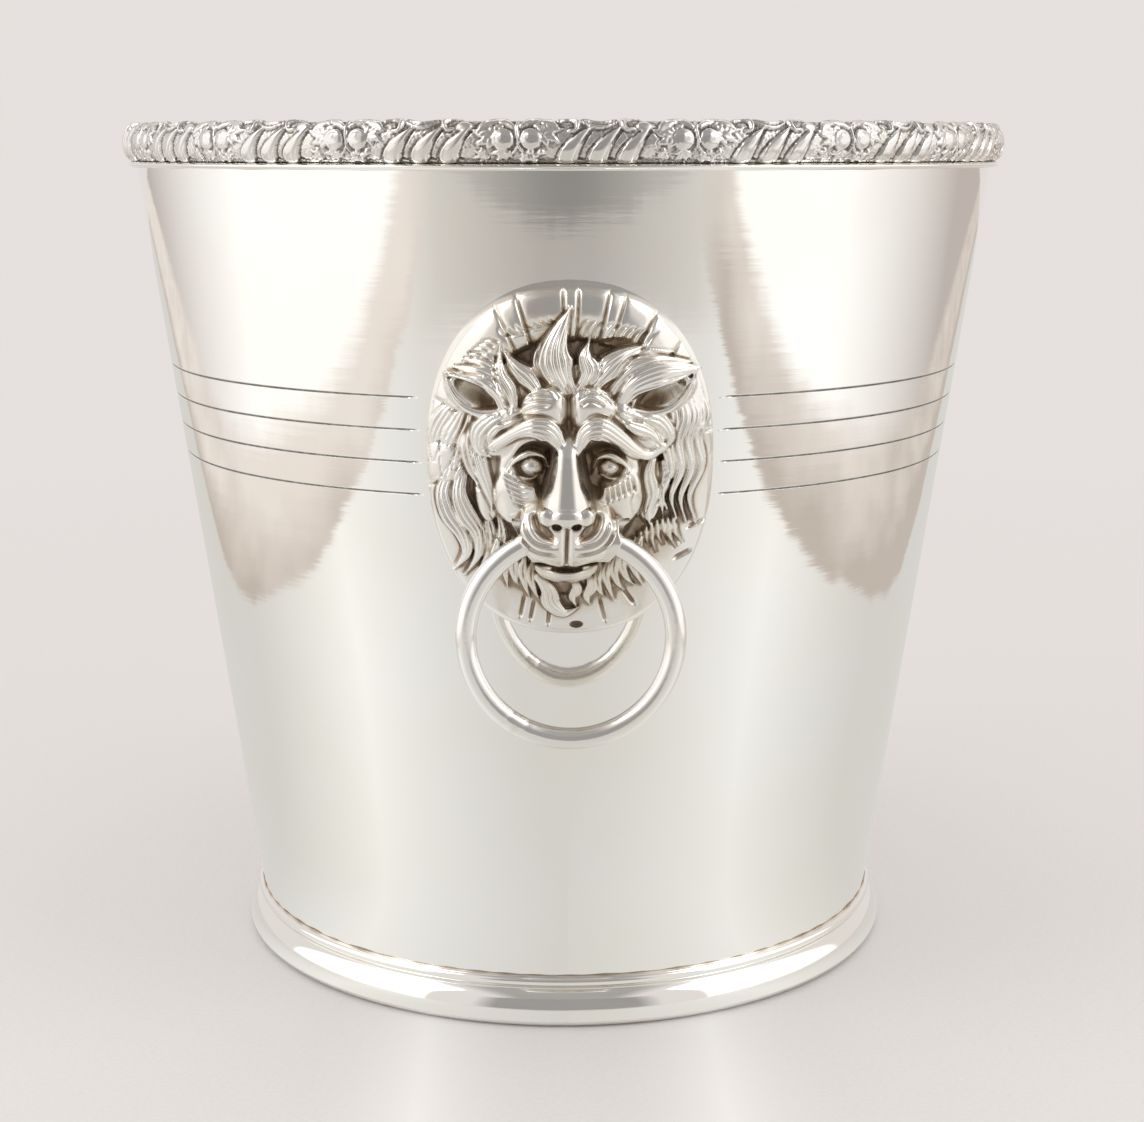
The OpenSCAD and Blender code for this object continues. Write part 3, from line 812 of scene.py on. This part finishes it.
def mask_relief():
    """The whole mask as a relief over the wall, and how deep each point lies in a hollow, with painted
    shade patches added.
    """
    x, z = mask_grid()
    inset = inset_of(x, z)
    r = Relief(x, z, np.zeros_like(x))
    sculpt_plate(r, inset)
    for sculpt in (sculpt_collar_hair, sculpt_head, sculpt_mane_left, sculpt_mane_right, sculpt_beard,
                   sculpt_temples, sculpt_ears, sculpt_crown, sculpt_brows, sculpt_eyes, sculpt_cheeks,
                   sculpt_nose, sculpt_muzzle):
        sculpt(r)
    r.h = np.maximum(r.h, 1.2 * np.clip(inset / 1.3, 0, 1))
    # a worn dent where the raised ring lies beside the whisker pad
    r.h -= 0.75 * np.exp(-((x + 12.1) / 1.8) ** 2 - ((z + 11.4) / 1.8) ** 2)
    r.h = blur(r.h, 0.6)
    r.h = np.where(inset <= 0.001, -0.4, r.h)
    near = np.clip((blur(r.h, 3.2) - r.h) / 0.55, 0, 1)
    wide = np.clip((blur(r.h, 12) - r.h) / 2.6, 0, 1)
    # the shade patches add patina and painted shade on top of the hollows' own tarnish
    stain = r.stain * (0.35 + 0.65 * np.clip(near + wide, 0, 1))
    recess = np.clip(0.75 * near + 0.65 * wide + stain, 0, 1)
    return r, recess * smooth(inset / 2) * (1 - r.clean)


def cut_with(obj, cutter):
    """Cuts a closed shape out of a closed mesh for good."""
    change = obj.modifiers.new("cut", "BOOLEAN")
    change.object = cutter
    change.operation = "DIFFERENCE"
    change.solver = "MANIFOLD"
    depsgraph = bpy.context.evaluated_depsgraph_get()
    mesh = bpy.data.meshes.new_from_object(obj.evaluated_get(depsgraph))
    obj.modifiers.clear()
    obj.data = mesh
    bpy.data.objects.remove(cutter)


def rod(name, centre, along, rx, rz, length, steps=64):
    """A closed oval rod, used to cut holes. along is 0 for X or 1 for Y."""
    angle = angles(steps)
    points = []
    for end in (-0.5, 0.5):
        for a in angle:
            p = np.array(centre, float)
            p[along] += end * length
            p[1 - along] += rx * math.cos(a)
            p[2] += rz * math.sin(a)
            points.append(p)
    mesh = bpy.data.meshes.new(name)
    sides = [(i, (i + 1) % steps, steps + (i + 1) % steps, steps + i) for i in range(steps)]
    if along == 0:
        caps = [tuple(range(steps))[::-1], tuple(range(steps, 2 * steps))]
    else:
        sides = [f[::-1] for f in sides]
        caps = [tuple(range(steps)), tuple(range(steps, 2 * steps))[::-1]]
    mesh.from_pydata([tuple(p * MM) for p in points], [], sides + caps)
    mesh.update()
    return link(name, mesh)


def make_mask():
    """The front mask: its relief on the wall, with the ring's hole and the vent hole cut."""
    r, recess = mask_relief()
    rows, columns = r.x.shape
    height = MASK_Z + r.z
    on_wall = np.sqrt(wall_r(height) ** 2 - r.x ** 2)
    front = np.stack([r.x, -on_wall - r.h, height], -1).reshape(-1, 3)
    back = np.stack([r.x, -on_wall + 0.5, height], -1).reshape(-1, 3)
    faces = grid_faces(rows, columns)
    count = rows * columns
    index = np.arange(count).reshape(rows, columns)
    rim = np.concatenate([index[0, :-1], index[:-1, -1], index[-1, :0:-1], index[:0:-1, 0]])
    after = np.roll(rim, -1)
    wall = np.stack([after, rim, rim + count, after + count], 1)
    everything = np.vstack([faces, faces[:, ::-1] + count, wall])
    recess = np.concatenate([recess.ravel(), np.zeros(count)])
    obj = make_object("lion_mask_relief_front", np.vstack([front, back]), everything, {"recess": recess})
    cut_with(obj, rod("ring_hole", (0, RING_Y, PIVOT_Z), 0, TUBE_R, TUBE_R, 25.4))
    cut_with(obj, rod("vent_hole", (VENT_X, RING_Y, VENT_Z), 1, VENT_RX, VENT_RZ, 30, 32))
    obj.data.materials.clear()
    obj.data.materials.append(CHASED)
    # the vent hole is painted fully dark: painted shade for the hollow behind it
    darkening = obj.data.attributes["recess"].data
    for vertex in obj.data.vertices:
        x, _, z = np.array(vertex.co) / MM
        if math.hypot((x - VENT_X) / VENT_RX, (z - VENT_Z) / VENT_RZ) < 1.05:
            darkening[vertex.index].value = 1
    return obj


def back_copy(obj, name):
    """The same piece turned half way round the bucket."""
    copy = link(name, obj.data)
    copy.rotation_euler[2] = math.pi
    return copy


mask = make_mask()
mask_back = back_copy(mask, "lion_mask_relief_back")
for piece, node in ((mask, "lion_mask_front"), (mask_back, "lion_mask_back")):
    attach(piece, "bucket")
    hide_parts(node)


def make_tube():
    """The tube in the muzzle that the ring turns in, its ends trimmed to the muzzle's round corners."""
    steps, bore = 96, TUBE_R - 0.5
    angle = angles(steps)
    loops = []
    for side, radius in ((-1, TUBE_R), (1, TUBE_R), (1, bore), (-1, bore)):
        z = PIVOT_Z + radius * np.sin(angle)
        reach = tube_end(PIVOT_Z + TUBE_R * np.sin(angle) - MASK_Z)
        loops.append(np.stack([side * reach, RING_Y + radius * np.cos(angle), z], 1))
    points = np.vstack(loops)
    return sharpen(make_object("tube_front", points, grid_faces(4, steps, True, True)), 40)


tube = make_tube()
tube.data.materials.append(TUBE)
tube_back = back_copy(tube, "tube_back")
for piece, node in ((tube, "ring_tube_front"), (tube_back, "ring_tube_back")):
    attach(piece, "bucket")
    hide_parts(node)

# ---------------------------------------------------------------- the rings


def make_ring():
    """A ring of hand-drawn round wire, brazed into one loop low on the viewer's left."""
    around, across = 288, 40
    a, b = angles(around), angles(across)
    thick = RING_WIRE / 2 * (1 + 0.006 * np.sin(3 * a + 1) + 0.005 * np.sin(7 * a + 2))
    thick = np.minimum(thick, RING_WIRE / 2)
    apart = (a - math.radians(238) + math.pi) % TURN - math.pi
    bead = np.exp(-(apart / 0.05) ** 2)
    dent = 0.03 * np.exp(-((np.abs(apart) - 0.095) / 0.03) ** 2)
    lumps = smooth(np.cos(3 * b + 0.6) + 0.5)
    r = thick[:, None] * (1 - dent[:, None]) + 0.02 * bead[:, None] * lumps[None, :]
    reach = RING_R + r * np.cos(b)[None, :]
    x = reach * np.cos(a)[:, None]
    z = RING_Z + reach * np.sin(a)[:, None]
    y = RING_Y + r * np.sin(b)[None, :]
    points = np.stack([x, y, z], -1).reshape(-1, 3)
    seam = np.repeat(np.clip(bead + 3 * dent, 0, 1)[:, None], across, 1)
    inner = np.clip(-np.cos(b), 0, 1)[None, :] ** 6 * 0.35
    darkening = np.clip(0.4 * seam + inner, 0, 1)
    faces = grid_faces(around, across, True, True)
    return make_object("drop_ring_front", points, faces, {"recess": darkening})


ring = make_ring()
ring.data.materials.append(RING)
ring_back = back_copy(ring, "drop_ring_back")
for piece, node, body in ((ring, "ring_front", "front_handle"), (ring_back, "ring_back", "back_handle")):
    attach(piece, body)
    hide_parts(node)

# ---------------------------------------------------------------- the wall, foot and rim


def wall_mesh():
    """The spun wall as one closed sheet, with engraved lines that stop short of the masks."""
    columns = 720
    heights = list(np.linspace(WALL_LOW, WALL_HIGH, 72))
    lines = [LINE_Z0 + i * LINE_PITCH for i in range(LINE_COUNT)]
    for z in lines:
        heights = [h for h in heights if abs(h - z) > 2 * LINE_W]
        heights += [z + k * LINE_W for k in (-1.8, -0.62, -0.5, -0.22, 0.22, 0.5, 0.62, 1.8)]
    heights = np.array(sorted(heights))
    from_mask = np.abs((angles(columns) + math.pi) % math.pi - math.pi / 2)
    ends = smooth((from_mask - LINE_END) / 0.012)
    depth = sum(np.clip((0.5 * LINE_W - np.abs(heights - z)) / (0.28 * LINE_W), 0, 1) for z in lines)
    cut = depth[:, None] * ends[None, :]
    radius = wall_r(heights)[:, None] - LINE_D * cut
    inner = np.zeros_like(radius) + (wall_r(heights) - WALL_T)[::-1, None]
    z = np.repeat(np.concatenate([heights, heights[::-1]])[:, None], columns, 1)
    # the engraved lines get recess values, so they are painted dark grey: painted shade in the grooves
    groove = np.vstack([np.clip(cut, 0, 1), np.zeros_like(cut)])
    obj = revolve("wall_shell", np.vstack([radius, inner]), z, groove)
    row = np.repeat(np.arange(2 * len(heights)), columns)
    obj.data.polygons.foreach_set("material_index", (row >= len(heights)).astype(np.int32))
    return sharpen(obj, 50)


wall = wall_mesh()
wall.data.materials.append(PLAIN)
wall.data.materials.append(INNER)
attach(wall, "bucket")
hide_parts("body_wall")


def spread_round(profile, steps=720):
    """A profile's radii and heights repeated at every angle, with a stain to match, all 0."""
    r, z = (np.repeat(np.array(column)[:, None], steps, 1) for column in profile.T)
    return r, z, np.zeros_like(r)


def foot_mesh():
    """The drawn moulding round the foot, with solder along both of its seams."""
    wide = FOOT_R - 0.3
    back = wall_r(WALL_LOW) - 0.8
    cove = [(back, 0), (wide - 6, 0), *arc(wide - 2.7, 2.7, 2.7, 2.7, -90, 0, 20)[:-1]]
    cove += [*arc(wide - 4.9, 2.7, 4.9, 6.9, 0, 76, 30)]
    seat = wall_r(FOOT_H + 0.5)
    bead = [(wall_r(FOOT_H - 1.9) + 1.15, FOOT_H - 2.45)]
    bead += [*arc(wall_r(FOOT_H) + 0.3, FOOT_H - 1.2, 1.2, 1.2, -42, 96, 18)]
    bead += [(seat + 0.12, FOOT_H + 0.28), (seat - 0.4, FOOT_H + 0.3)]
    under = [(wall_r(WALL_LOW) - 0.2, WALL_LOW), (back, WALL_LOW)]
    r, z, seam = spread_round(np.array(cove + bead + under))
    angle = angles(r.shape[1])
    wobble = 0.5 + 0.5 * np.sin(angle * 23 + 1.3 * np.sin(angle * 7)) * np.sin(angle * 41 + 2)
    crease, top = len(cove), len(cove) + len(bead) - 2
    seam[crease - 1:crease + 2] = 0.3 * wobble
    seam[top - 1] = 0.5 * wobble
    seam[top] = 0.65 + 0.35 * wobble
    seam[top + 1] = 1
    r[top] += 0.22 * wobble
    z[top] += 0.16 * wobble
    return sharpen(revolve("foot_ring", r, z, seam), 80)


# ---------------------------------------------------------------- the rim's border


def border_leaf(r, x, z, aim, size, level):
    """A vine leaf: five pointed lobes spread about one direction, each with its vein."""
    for turn, long in ((-74, 0.62), (-38, 0.86), (0, 1), (38, 0.86), (74, 0.62)):
        a = math.radians(aim + turn)
        reach = size * long
        mid = (x + 0.5 * reach * math.cos(a + 0.12), z + 0.5 * reach * math.sin(a + 0.12))
        tip = (x + reach * math.cos(a), z + reach * math.sin(a))
        r.lock([(x, z), mid, tip], size * 0.4, [level, level + 0.1, level - 0.3], 2, root=0.3, crown=0.4,
               cut=0.4, dig=0.35, tip=0.08, belly=0.45)


def border_cluster(r):
    """Two round fruits on a forked stem, among vine leaves and small grapes."""
    for leaf in ((-4.6, 1.2, 165, 5, 0.75), (5, 1.6, 12, 4.8, 0.75), (-2.6, 3.4, 118, 3.4, 0.7),
                 (3, 3.6, 58, 3.6, 0.7), (-2.4, -1.8, 232, 3.6, 0.7), (-6.4, -2.6, 200, 3, 0.6)):
        border_leaf(r, *leaf)
    for points in ([(-0.6, 3), (-3.6, 4.9), (-7.6, 4.6)], [(0.8, 3.2), (4, 5.2), (7.4, 5)],
                   [(-4.6, 4.2), (-6.8, 3.4), (-8.2, 1.6)], [(4.8, 4.4), (7, 3.8), (8.8, 2.2)]):
        r.lock(points, 2.2, [0.9, 0.95, 0.7], 3, root=0.5, crown=0.5, cut=0.35, dig=0.35)
    for x, z in ((1.6, -2.7), (2.8, -2.1), (3.9, -2.9), (2.5, -3.6), (5, -2.2), (3.6, -4.1), (1.3, -4)):
        r.dome(x, z, 0.78, 0.72, 1, 0.75, blend=0.05)
    for x, z in ((-2.75, 0.5), (2.85, 0.55)):
        r.sink(x, z, 3.1, 2.9, 0, edge=1.2)
        r.dome(x, z, 2.45, 2.35, 1.4, 1.25, blend=0.05)
        r.dome(x - 0.2, z + 0.5, 0.55, 0.7, 1.55, 0.3, blend=0.05)
        r.groove(arc(x, z, 1.55, 1.5, 30, 330, 24), 0.16, 0.22, fade=0.1)
    r.lock([(0.1, 4.6), (0, 2), (0.3, -0.6), (-1.2, -3)], 0.8, [0.9, 1, 0.95, 0.6], 1, root=0.8,
           crown=0.3, dig=0.4, tip=0.5)
    r.lock([(0.2, -0.4), (1, -1.8), (2.2, -2.6)], 0.6, [0.9, 0.9, 0.6], 1, root=0.8, crown=0.2, dig=0.3,
           tip=0.4)


def border_lobe(r, x):
    """One fluted lobe of the gadroon run: an S that leans to the right, with a shell above it."""
    r.lock([(x - 0.6, -4.7), (x + 0.3, -2.2), (x + 2.2, 0.6), (x + 4.6, 3)], 4.4, [1.1, 1.3, 1.2, 0.6], 1,
           root=0.9, crown=1, cut=0, dig=0.7, tip=0.2, belly=0.2)
    r.groove([(x + 0.7, -4.4), (x + 1.5, -2), (x + 3.2, 0.4), (x + 5, 2.3)], 0.2, 0.5, fade=0.1)
    r.sink(x + 2.3, -4.1, 0.9, 0.6, -0.5, turn=20)
    # a depth below 0 raises a line
    r.groove([(x - 1.8, -4), (x - 1.2, -1.6), (x + 0.4, 0.8), (x + 2.6, 2.8)], 0.22, -0.35, fade=0.1)


def border_scrolls(r):
    """C-scrolls and a festoon along the crown above the lobes."""
    r.lock([(8.6, 4.8), (10.6, 5.6), (12.4, 4.4), (12.2, 2.4), (10.8, 2.2)], 1.5, [0.8, 1.1, 1.2, 1.1, 0.8],
           1, root=0.7, crown=0.5, dig=0.6, tip=0.5)
    for drop in (0, 1):
        r.lock([(13.2, 5.4 - drop), (15.8, 4.1 - drop), (18.4, 4.1 - drop), (20.8, 5.4 - drop)], 0.8,
               [0.9, 1, 1, 0.9], 1, root=0.6, crown=0.3, dig=0.35, tip=0.4)
    r.lock([(25.4, 5.6), (23.2, 5.8), (21.8, 4.4), (22.4, 2.6), (24, 2.6)], 1.5,
           [0.8, 1.1, 1.2, 1.1, 0.8], 1, root=0.7, crown=0.5, dig=0.6, tip=0.5)
    r.dome(26.2, 3.2, 1.7, 1.2, 0.9, 0.6, blend=0.1)


def border_repeat(columns, rows, pitch, low, high):
    """One repeat of the border as a relief. It starts half a repeat before the fruits."""
    x = np.arange(columns) / columns * pitch - pitch / 4
    x, z = np.meshgrid(x, np.linspace(low, high, rows))
    r = Relief(x, z, np.zeros_like(x))
    for shift in (-pitch, 0, pitch):
        r.slide(shift)
        for k in range(3):
            border_lobe(r, 10.6 + k * pitch / 6)
        border_scrolls(r)
    for shift in (-pitch, 0, pitch):
        r.slide(shift)
        border_cluster(r)
    r.slide(0)
    ground = 0.2 * np.sin(x * 5.2 + 1.6 * np.sin(z * 2.9)) * np.sin(z * 6.1 + 1.4 * np.sin(x * 2.3))
    total = r.h + ground * smooth((0.5 - r.h) / 0.4)
    inner = smooth((z - 7.6) / 1.2)
    total = total * (1 - inner) + 0.25 * inner
    lip = smooth((-4.55 - z) / 0.25)
    return total * (1 - lip) + 0.5 * lip


def make_border():
    """The die-struck border: 18.5 repeats, closed at the back by half a repeat more of lobes.

    The run starts and ends at the back, between fruits.
    """
    columns, rows = 150, 58
    start, end, corner = -80, 152, 0
    profile = arc(0, 0, CROWN_RX, CROWN_RZ, start, end, 600)
    run = np.concatenate([[0], np.cumsum(np.hypot(*np.diff(profile, axis=0).T))])
    run = run - run[round(np.interp(corner, [start, end], [0, len(profile) - 1]))]
    place = np.linspace(run[0], run[-1], rows)
    out, up = (np.interp(place, run, column) for column in profile.T)
    tangent = np.stack([np.gradient(out), np.gradient(up)], 1)
    tangent /= np.linalg.norm(tangent, axis=1)[:, None]
    patch = border_repeat(columns, rows, TURN / REPEATS * BORDER_R, place[0], place[-1])
    patch = blur(np.hstack([patch] * 3), 0.5)[:, columns:2 * columns]
    around = np.hstack([patch] * int(REPEATS) + [patch[:, columns // 2:]])
    total = around.shape[1]
    darkening = np.clip((blur(around, 2.6, True) - around) / 0.42, 0, 1) * 0.75
    darkening += np.clip((blur(around, 7, True) - around) / 0.9, 0, 1) * 0.55
    upper = smooth((place - 0.6) / 3.2)[:, None] * smooth((9 - place) / 3)[:, None]
    darkening += 0.42 * upper * np.clip(1 - around / 0.9, 0, 1)
    recess = np.clip(darkening, 0, 1)
    recess[0:2] = 0.3
    lift = around * BORDER_LIFT
    r = np.minimum(RIM_R - CROWN_IN + out[:, None] + tangent[:, 1][:, None] * lift, RIM_R)
    z = np.minimum(BORDER_MID + 0.05 + up[:, None] - tangent[:, 0][:, None] * lift, TOTAL_H)
    inside = wall_r(WALL_HIGH) - WALL_T
    back = [(inside - 1.1, WALL_HIGH - 0.7), (inside + 0.3, WALL_HIGH - 1.3),
            (inside + 0.3, BORDER_MID - 3)]
    back_r, back_z, clean = spread_round(np.array(back), total)
    r, z, recess = np.vstack([r, back_r]), np.vstack([z, back_z]), np.vstack([recess, clean])
    angle = BORDER_START + angles(total)
    points = np.stack([r * np.cos(angle), r * np.sin(angle), z], -1).reshape(-1, 3)
    return make_object("border_relief", points, grid_faces(rows + 3, total, True, True), {"recess": recess})


def lip_mesh():
    """The plain wire under the border, with solder along both of its edges."""
    mid = (wire_low[2] + wire_high[2]) / 2 + 0.1
    at = wall_r(mid)
    profile = [(at - 0.4, mid - 0.8), *arc(at + 0.2, mid, 1.75, 0.72, -86, 80, 16)]
    r, z, stain = spread_round(np.array(profile + [(at + 0.1, mid + 1.25), (at - 0.4, mid + 1.2)]))
    angle = angles(r.shape[1])
    wobble = 0.5 + 0.25 * np.sin(angle * 19 + np.sin(angle * 5)) + 0.25 * np.sin(angle * 47 + 1)
    z[1] -= 0.12 * wobble
    z[2] -= 0.1 * wobble
    for row, amount in {0: 1, 1: 0.9, 2: 0.6, 3: 0.25, 15: 0.15, 16: 0.4, 17: 0.5, 18: 0.5}.items():
        stain[row] = amount * (0.35 + 0.65 * wobble)
    return revolve("rim_lip", r, z, stain)


border = make_border()
border.data.materials.append(BORDER)
lip = lip_mesh()
lip.data.materials.append(FOOT)
foot = foot_mesh()
foot.data.materials.append(FOOT)
for piece, node, slot in ((border, "rim_border", "chased_silver"), (lip, "rim_wire", "plain_silver"),
                          (foot, "foot_moulding", "plain_silver")):
    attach(piece, "bucket")
    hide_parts(node)

for node in ("base_disc", "foot_strip", "rim_liner"):
    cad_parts[node].data.materials.clear()
    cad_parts[node].data.materials.append(INNER)

# ---------------------------------------------------------------- stage, light and camera


BACKGROUND = (0.79, 0.748, 0.728)


def emitter(name):
    """An emission material's node tree, and its emission node with the colour left to fill."""
    n = Nodes(name)
    n.tree.nodes.remove(n.shader)
    glow = n.add("ShaderNodeEmission")
    n.put(glow.outputs[0], n.tree.nodes["Material Output"].inputs[0])
    return n, glow


def only_reflected(obj):
    """Makes a glowing card show in reflections alone, as a painted reflection that is never seen and casts
    nothing.
    """
    for kind in ("camera", "diffuse", "transmission", "volume_scatter", "shadow"):
        setattr(obj, "visible_" + kind, False)


def polar(n):
    """Azimuth in degrees, 0 to the front and 90 to either side, the side as -1 or 1, and log distance."""
    x, y = n.plan()
    turn = abs(n.math("ARCTAN2", x, y * -1)) * math.degrees(1)
    distance = n.math("SQRT", x * x + y * y) / MM
    return turn, n.math("SIGN", x), n.math("LOGARITHM", distance, math.e)


def valley(n, turn, centre, low, near, beyond, power_near, power_beyond):
    """A curve over azimuth that is low at its centre and rises by near and beyond on its flanks."""
    inner = n.math("MAXIMUM", (centre - turn) / 40, 0)
    outer = n.math("MAXIMUM", (turn - centre) / 40, 0)
    return inner ** power_near * near + outer ** power_beyond * beyond + low


def reflection_card_material():
    """What the bucket mirrors from the table, painted as glowing colour: pale paper, a beige edge, then
    white panels at the sides.

    The panels are brighter on the left, and a dim area of painted shade stands behind the camera. Azimuths
    are in degrees and distances are logarithms of millimetres.
    """
    n, glow = emitter("painted_table_reflection")
    turn, side, far = polar(n)
    ragged = far + (n.noise(14, 3) - 0.5) * 0.12
    edge = valley(n, turn, 92, math.log(325), 0.3, 0.5, 2.6, 3.2)
    edge = edge - (side + 1) * n.spread(turn, 50, 72, 0.04, 0)
    white = valley(n, turn, 76, math.log(490), 0.7, 0.3, 2.66, 3.2)

    streak = n.tent(turn, n.spread(far, 4.8, 5.9, 42, 60) + side * -3.5, 46) ** 1.4
    crest = n.mix(n.spread(far, 4.8, 5.9) - side * 0.25, (0.89, 0.88, 0.845), (1.0, 0.99, 0.955))
    paper = n.mix(streak, (0.69, 0.675, 0.645), crest)

    past_edge = ragged - edge
    fold = n.spread(past_edge, 0.04, 0.34) + (n.noise(9, 3) - 0.5) * 1.3 + (0.08 - side * 0.28)
    fold = fold + (1 - side) * n.spread(turn, 44, 64, 0.25, 0) - n.spread(turn, 90, 105, 0, 0.45)
    beige = n.mix(n.spread(fold, -0.1, 1.1), (0.56, 0.495, 0.44), (0.86, 0.79, 0.735))
    panels = n.mix(n.spread(turn + side * 9, 82, 133), (1.12, 1.1, 1.07), (0.53, 0.475, 0.445))

    # tone and dim paint the shade of the camera and photographer into the reflection straight ahead
    tone = n.mix(n.spread(turn, 6, 34), (0.47, 0.445, 0.42), (0.70, 0.67, 0.63))
    dim = n.mix(n.spread(turn, 2, 22), (0.6, 0.61, 0.62), (0.82, 0.83, 0.84))
    oval = ragged - turn * turn * 0.0002
    middle = n.mix(n.spread(ragged, math.log(540), math.log(590)), (0.79, 0.76, 0.73), tone)
    middle = n.mix(n.spread(oval, math.log(690), math.log(708)), middle, n.mix(1.0, tone, dim, "MULTIPLY"))
    middle_on = n.spread(turn, 32, 40, 1, 0) * n.spread(ragged, math.log(400), math.log(560))

    colour = n.mix(n.spread(past_edge, -0.01, 0.02), paper, beige)
    colour = n.mix(n.spread(ragged - white, -0.02, 0.1), colour, panels)
    n.put(n.mix(middle_on, colour, middle), glow.inputs[0])
    return n.material


def make_reflection_card(inner, outer, height, steps=128):
    """The mirrored table as a painted reflection: a glowing flat ring about the bucket's axis, facing up,
    just over the floor.
    """
    angle = angles(steps)
    level = np.full(steps, height)
    circles = [np.stack([r * np.cos(angle), r * np.sin(angle), level], 1) for r in (inner, outer)]
    obj = make_object("painted_table_reflection", np.vstack(circles), grid_faces(2, steps, False, True)[:, ::-1])
    obj.data.materials.append(reflection_card_material())
    only_reflected(obj)


def panel(name, corners, colour, strength, fade=None):
    """A flat glowing panel given by its four corners, seen only in reflections: a painted reflection.

    fade gives the two distances from the middle, in metres, between which it melts into the room.
    """
    n, glow = emitter(name + "_painted_reflection")
    tone = n.mix(n.spread(n.noise(2.2), 0.3, 0.7), tuple(c * 0.93 for c in colour), colour)
    if fade:
        tone = n.mix(n.spread(abs(n.plan()[0]), *fade), tone, BACKGROUND)
    n.put(tone, glow.inputs[0])
    glow.inputs[1].default_value = strength
    obj = make_object(name, corners, [(0, 1, 2, 3)])
    obj.data.materials.append(n.material)
    only_reflected(obj)


make_reflection_card(FOOT_R + 0.1, 3000, 0.6)
# bright panels: painted highlights at the sides, seen only in reflections
for name, side, strength in (("panel_left", -1, 1.25), ("panel_right", 1, 1.2)):
    panel(name, [(side * x, y, z) for x, y, z in ((1300, -1200, 20), (1700, 500, 20), (1700, 500, 4000),
                                                  (1300, -1200, 4000))], (1.0, 0.985, 0.965), strength)
# dim panels: painted shade of the camera's side and of the ceiling, seen only in reflections
panel("camera_side_shade", [(-760, -1150, 20), (760, -1150, 20), (760, -1150, 850), (-760, -1150, 850)],
      (0.36, 0.35, 0.345), 1.0, (0.5, 0.7))
panel("overhead_shade", [(-640, -1150, 850), (640, -1150, 850), (560, 350, 1290), (-560, 350, 1290)],
      (0.42, 0.405, 0.395), 1.0, (0.34, 0.52))


def floor_material():
    """Pale paper that fades into the background, with two soft patches of light in front of the foot."""
    n = Nodes("floor_paper")
    grain = n.noise(900)
    turn, _, far = polar(n)
    patch = n.tent(abs(n.plan()[0]), 0.034, 0.028)
    in_front = n.spread(far, math.log(138), math.log(190), 1, 0) * n.spread(turn, 38, 60, 1, 0)
    patch = patch * patch * in_front
    paper = n.mix(n.spread(grain, 0.3, 0.7), (0.775, 0.765, 0.755), (0.81, 0.80, 0.79))
    n.set(Base_Color=n.mix(patch, paper, (0.96, 0.955, 0.95)), Roughness=0.5,
          Normal=n.bump(grain, 0.05, 0.0003))
    glow = n.add("ShaderNodeEmission", Color=BACKGROUND + (1,))
    blend = n.add("ShaderNodeMixShader")
    faded = n.fill(blend, {0: n.spread(far, math.log(140), math.log(880)), 1: n.shader.outputs[0],
                           2: glow.outputs[0]})
    n.put(faded, n.tree.nodes["Material Output"].inputs[0])
    return n.material


corners = [(x * FLOOR_HALF, y * FLOOR_HALF, 0) for x, y in ((-1, -1), (1, -1), (1, 1), (-1, 1))]
floor = make_object("floor", corners, [(0, 1, 2, 3)])
floor.data.materials.append(floor_material())


def softbox(name, place, aim, size, power):
    """A soft square area light aimed at a point, in millimetres and watts."""
    data = bpy.data.lights.new(name, "AREA")
    data.shape = "RECTANGLE"
    data.size = data.size_y = size * MM
    data.energy = power
    data.color = (1, 0.99, 0.975)
    lamp = link(name, data)
    lamp.location = Vector(place) * MM
    lamp.rotation_euler = (Vector(aim) - Vector(place)).to_track_quat("-Z", "Y").to_euler()


softbox("key_left", (-900, -500, 900), (0, 0, 100), 600, 2.0)
softbox("key_right", (900, -500, 900), (0, 0, 100), 600, 1.75)
softbox("top", (0, 100, 1300), (0, 0, 0), 1000, 2.5)

world = bpy.data.worlds.new("world")
bpy.context.scene.world = world
world.use_nodes = True
sky = world.node_tree.nodes["Background"]
sky.inputs[0].default_value = BACKGROUND + (1,)
sky.inputs[1].default_value = 1.0
bpy.context.scene.view_settings.view_transform = "Standard"

camera_data = bpy.data.cameras.new("camera")
camera_data.lens = CAMERA_LENS
camera_data.sensor_width = CAMERA_SENSOR
camera = link("camera", camera_data)
camera.location = CAMERA_PLACE
camera.rotation_euler = (math.radians(90 - CAMERA_DOWN), 0, -math.radians(CAMERA_RIGHT))
bpy.context.scene.camera = camera
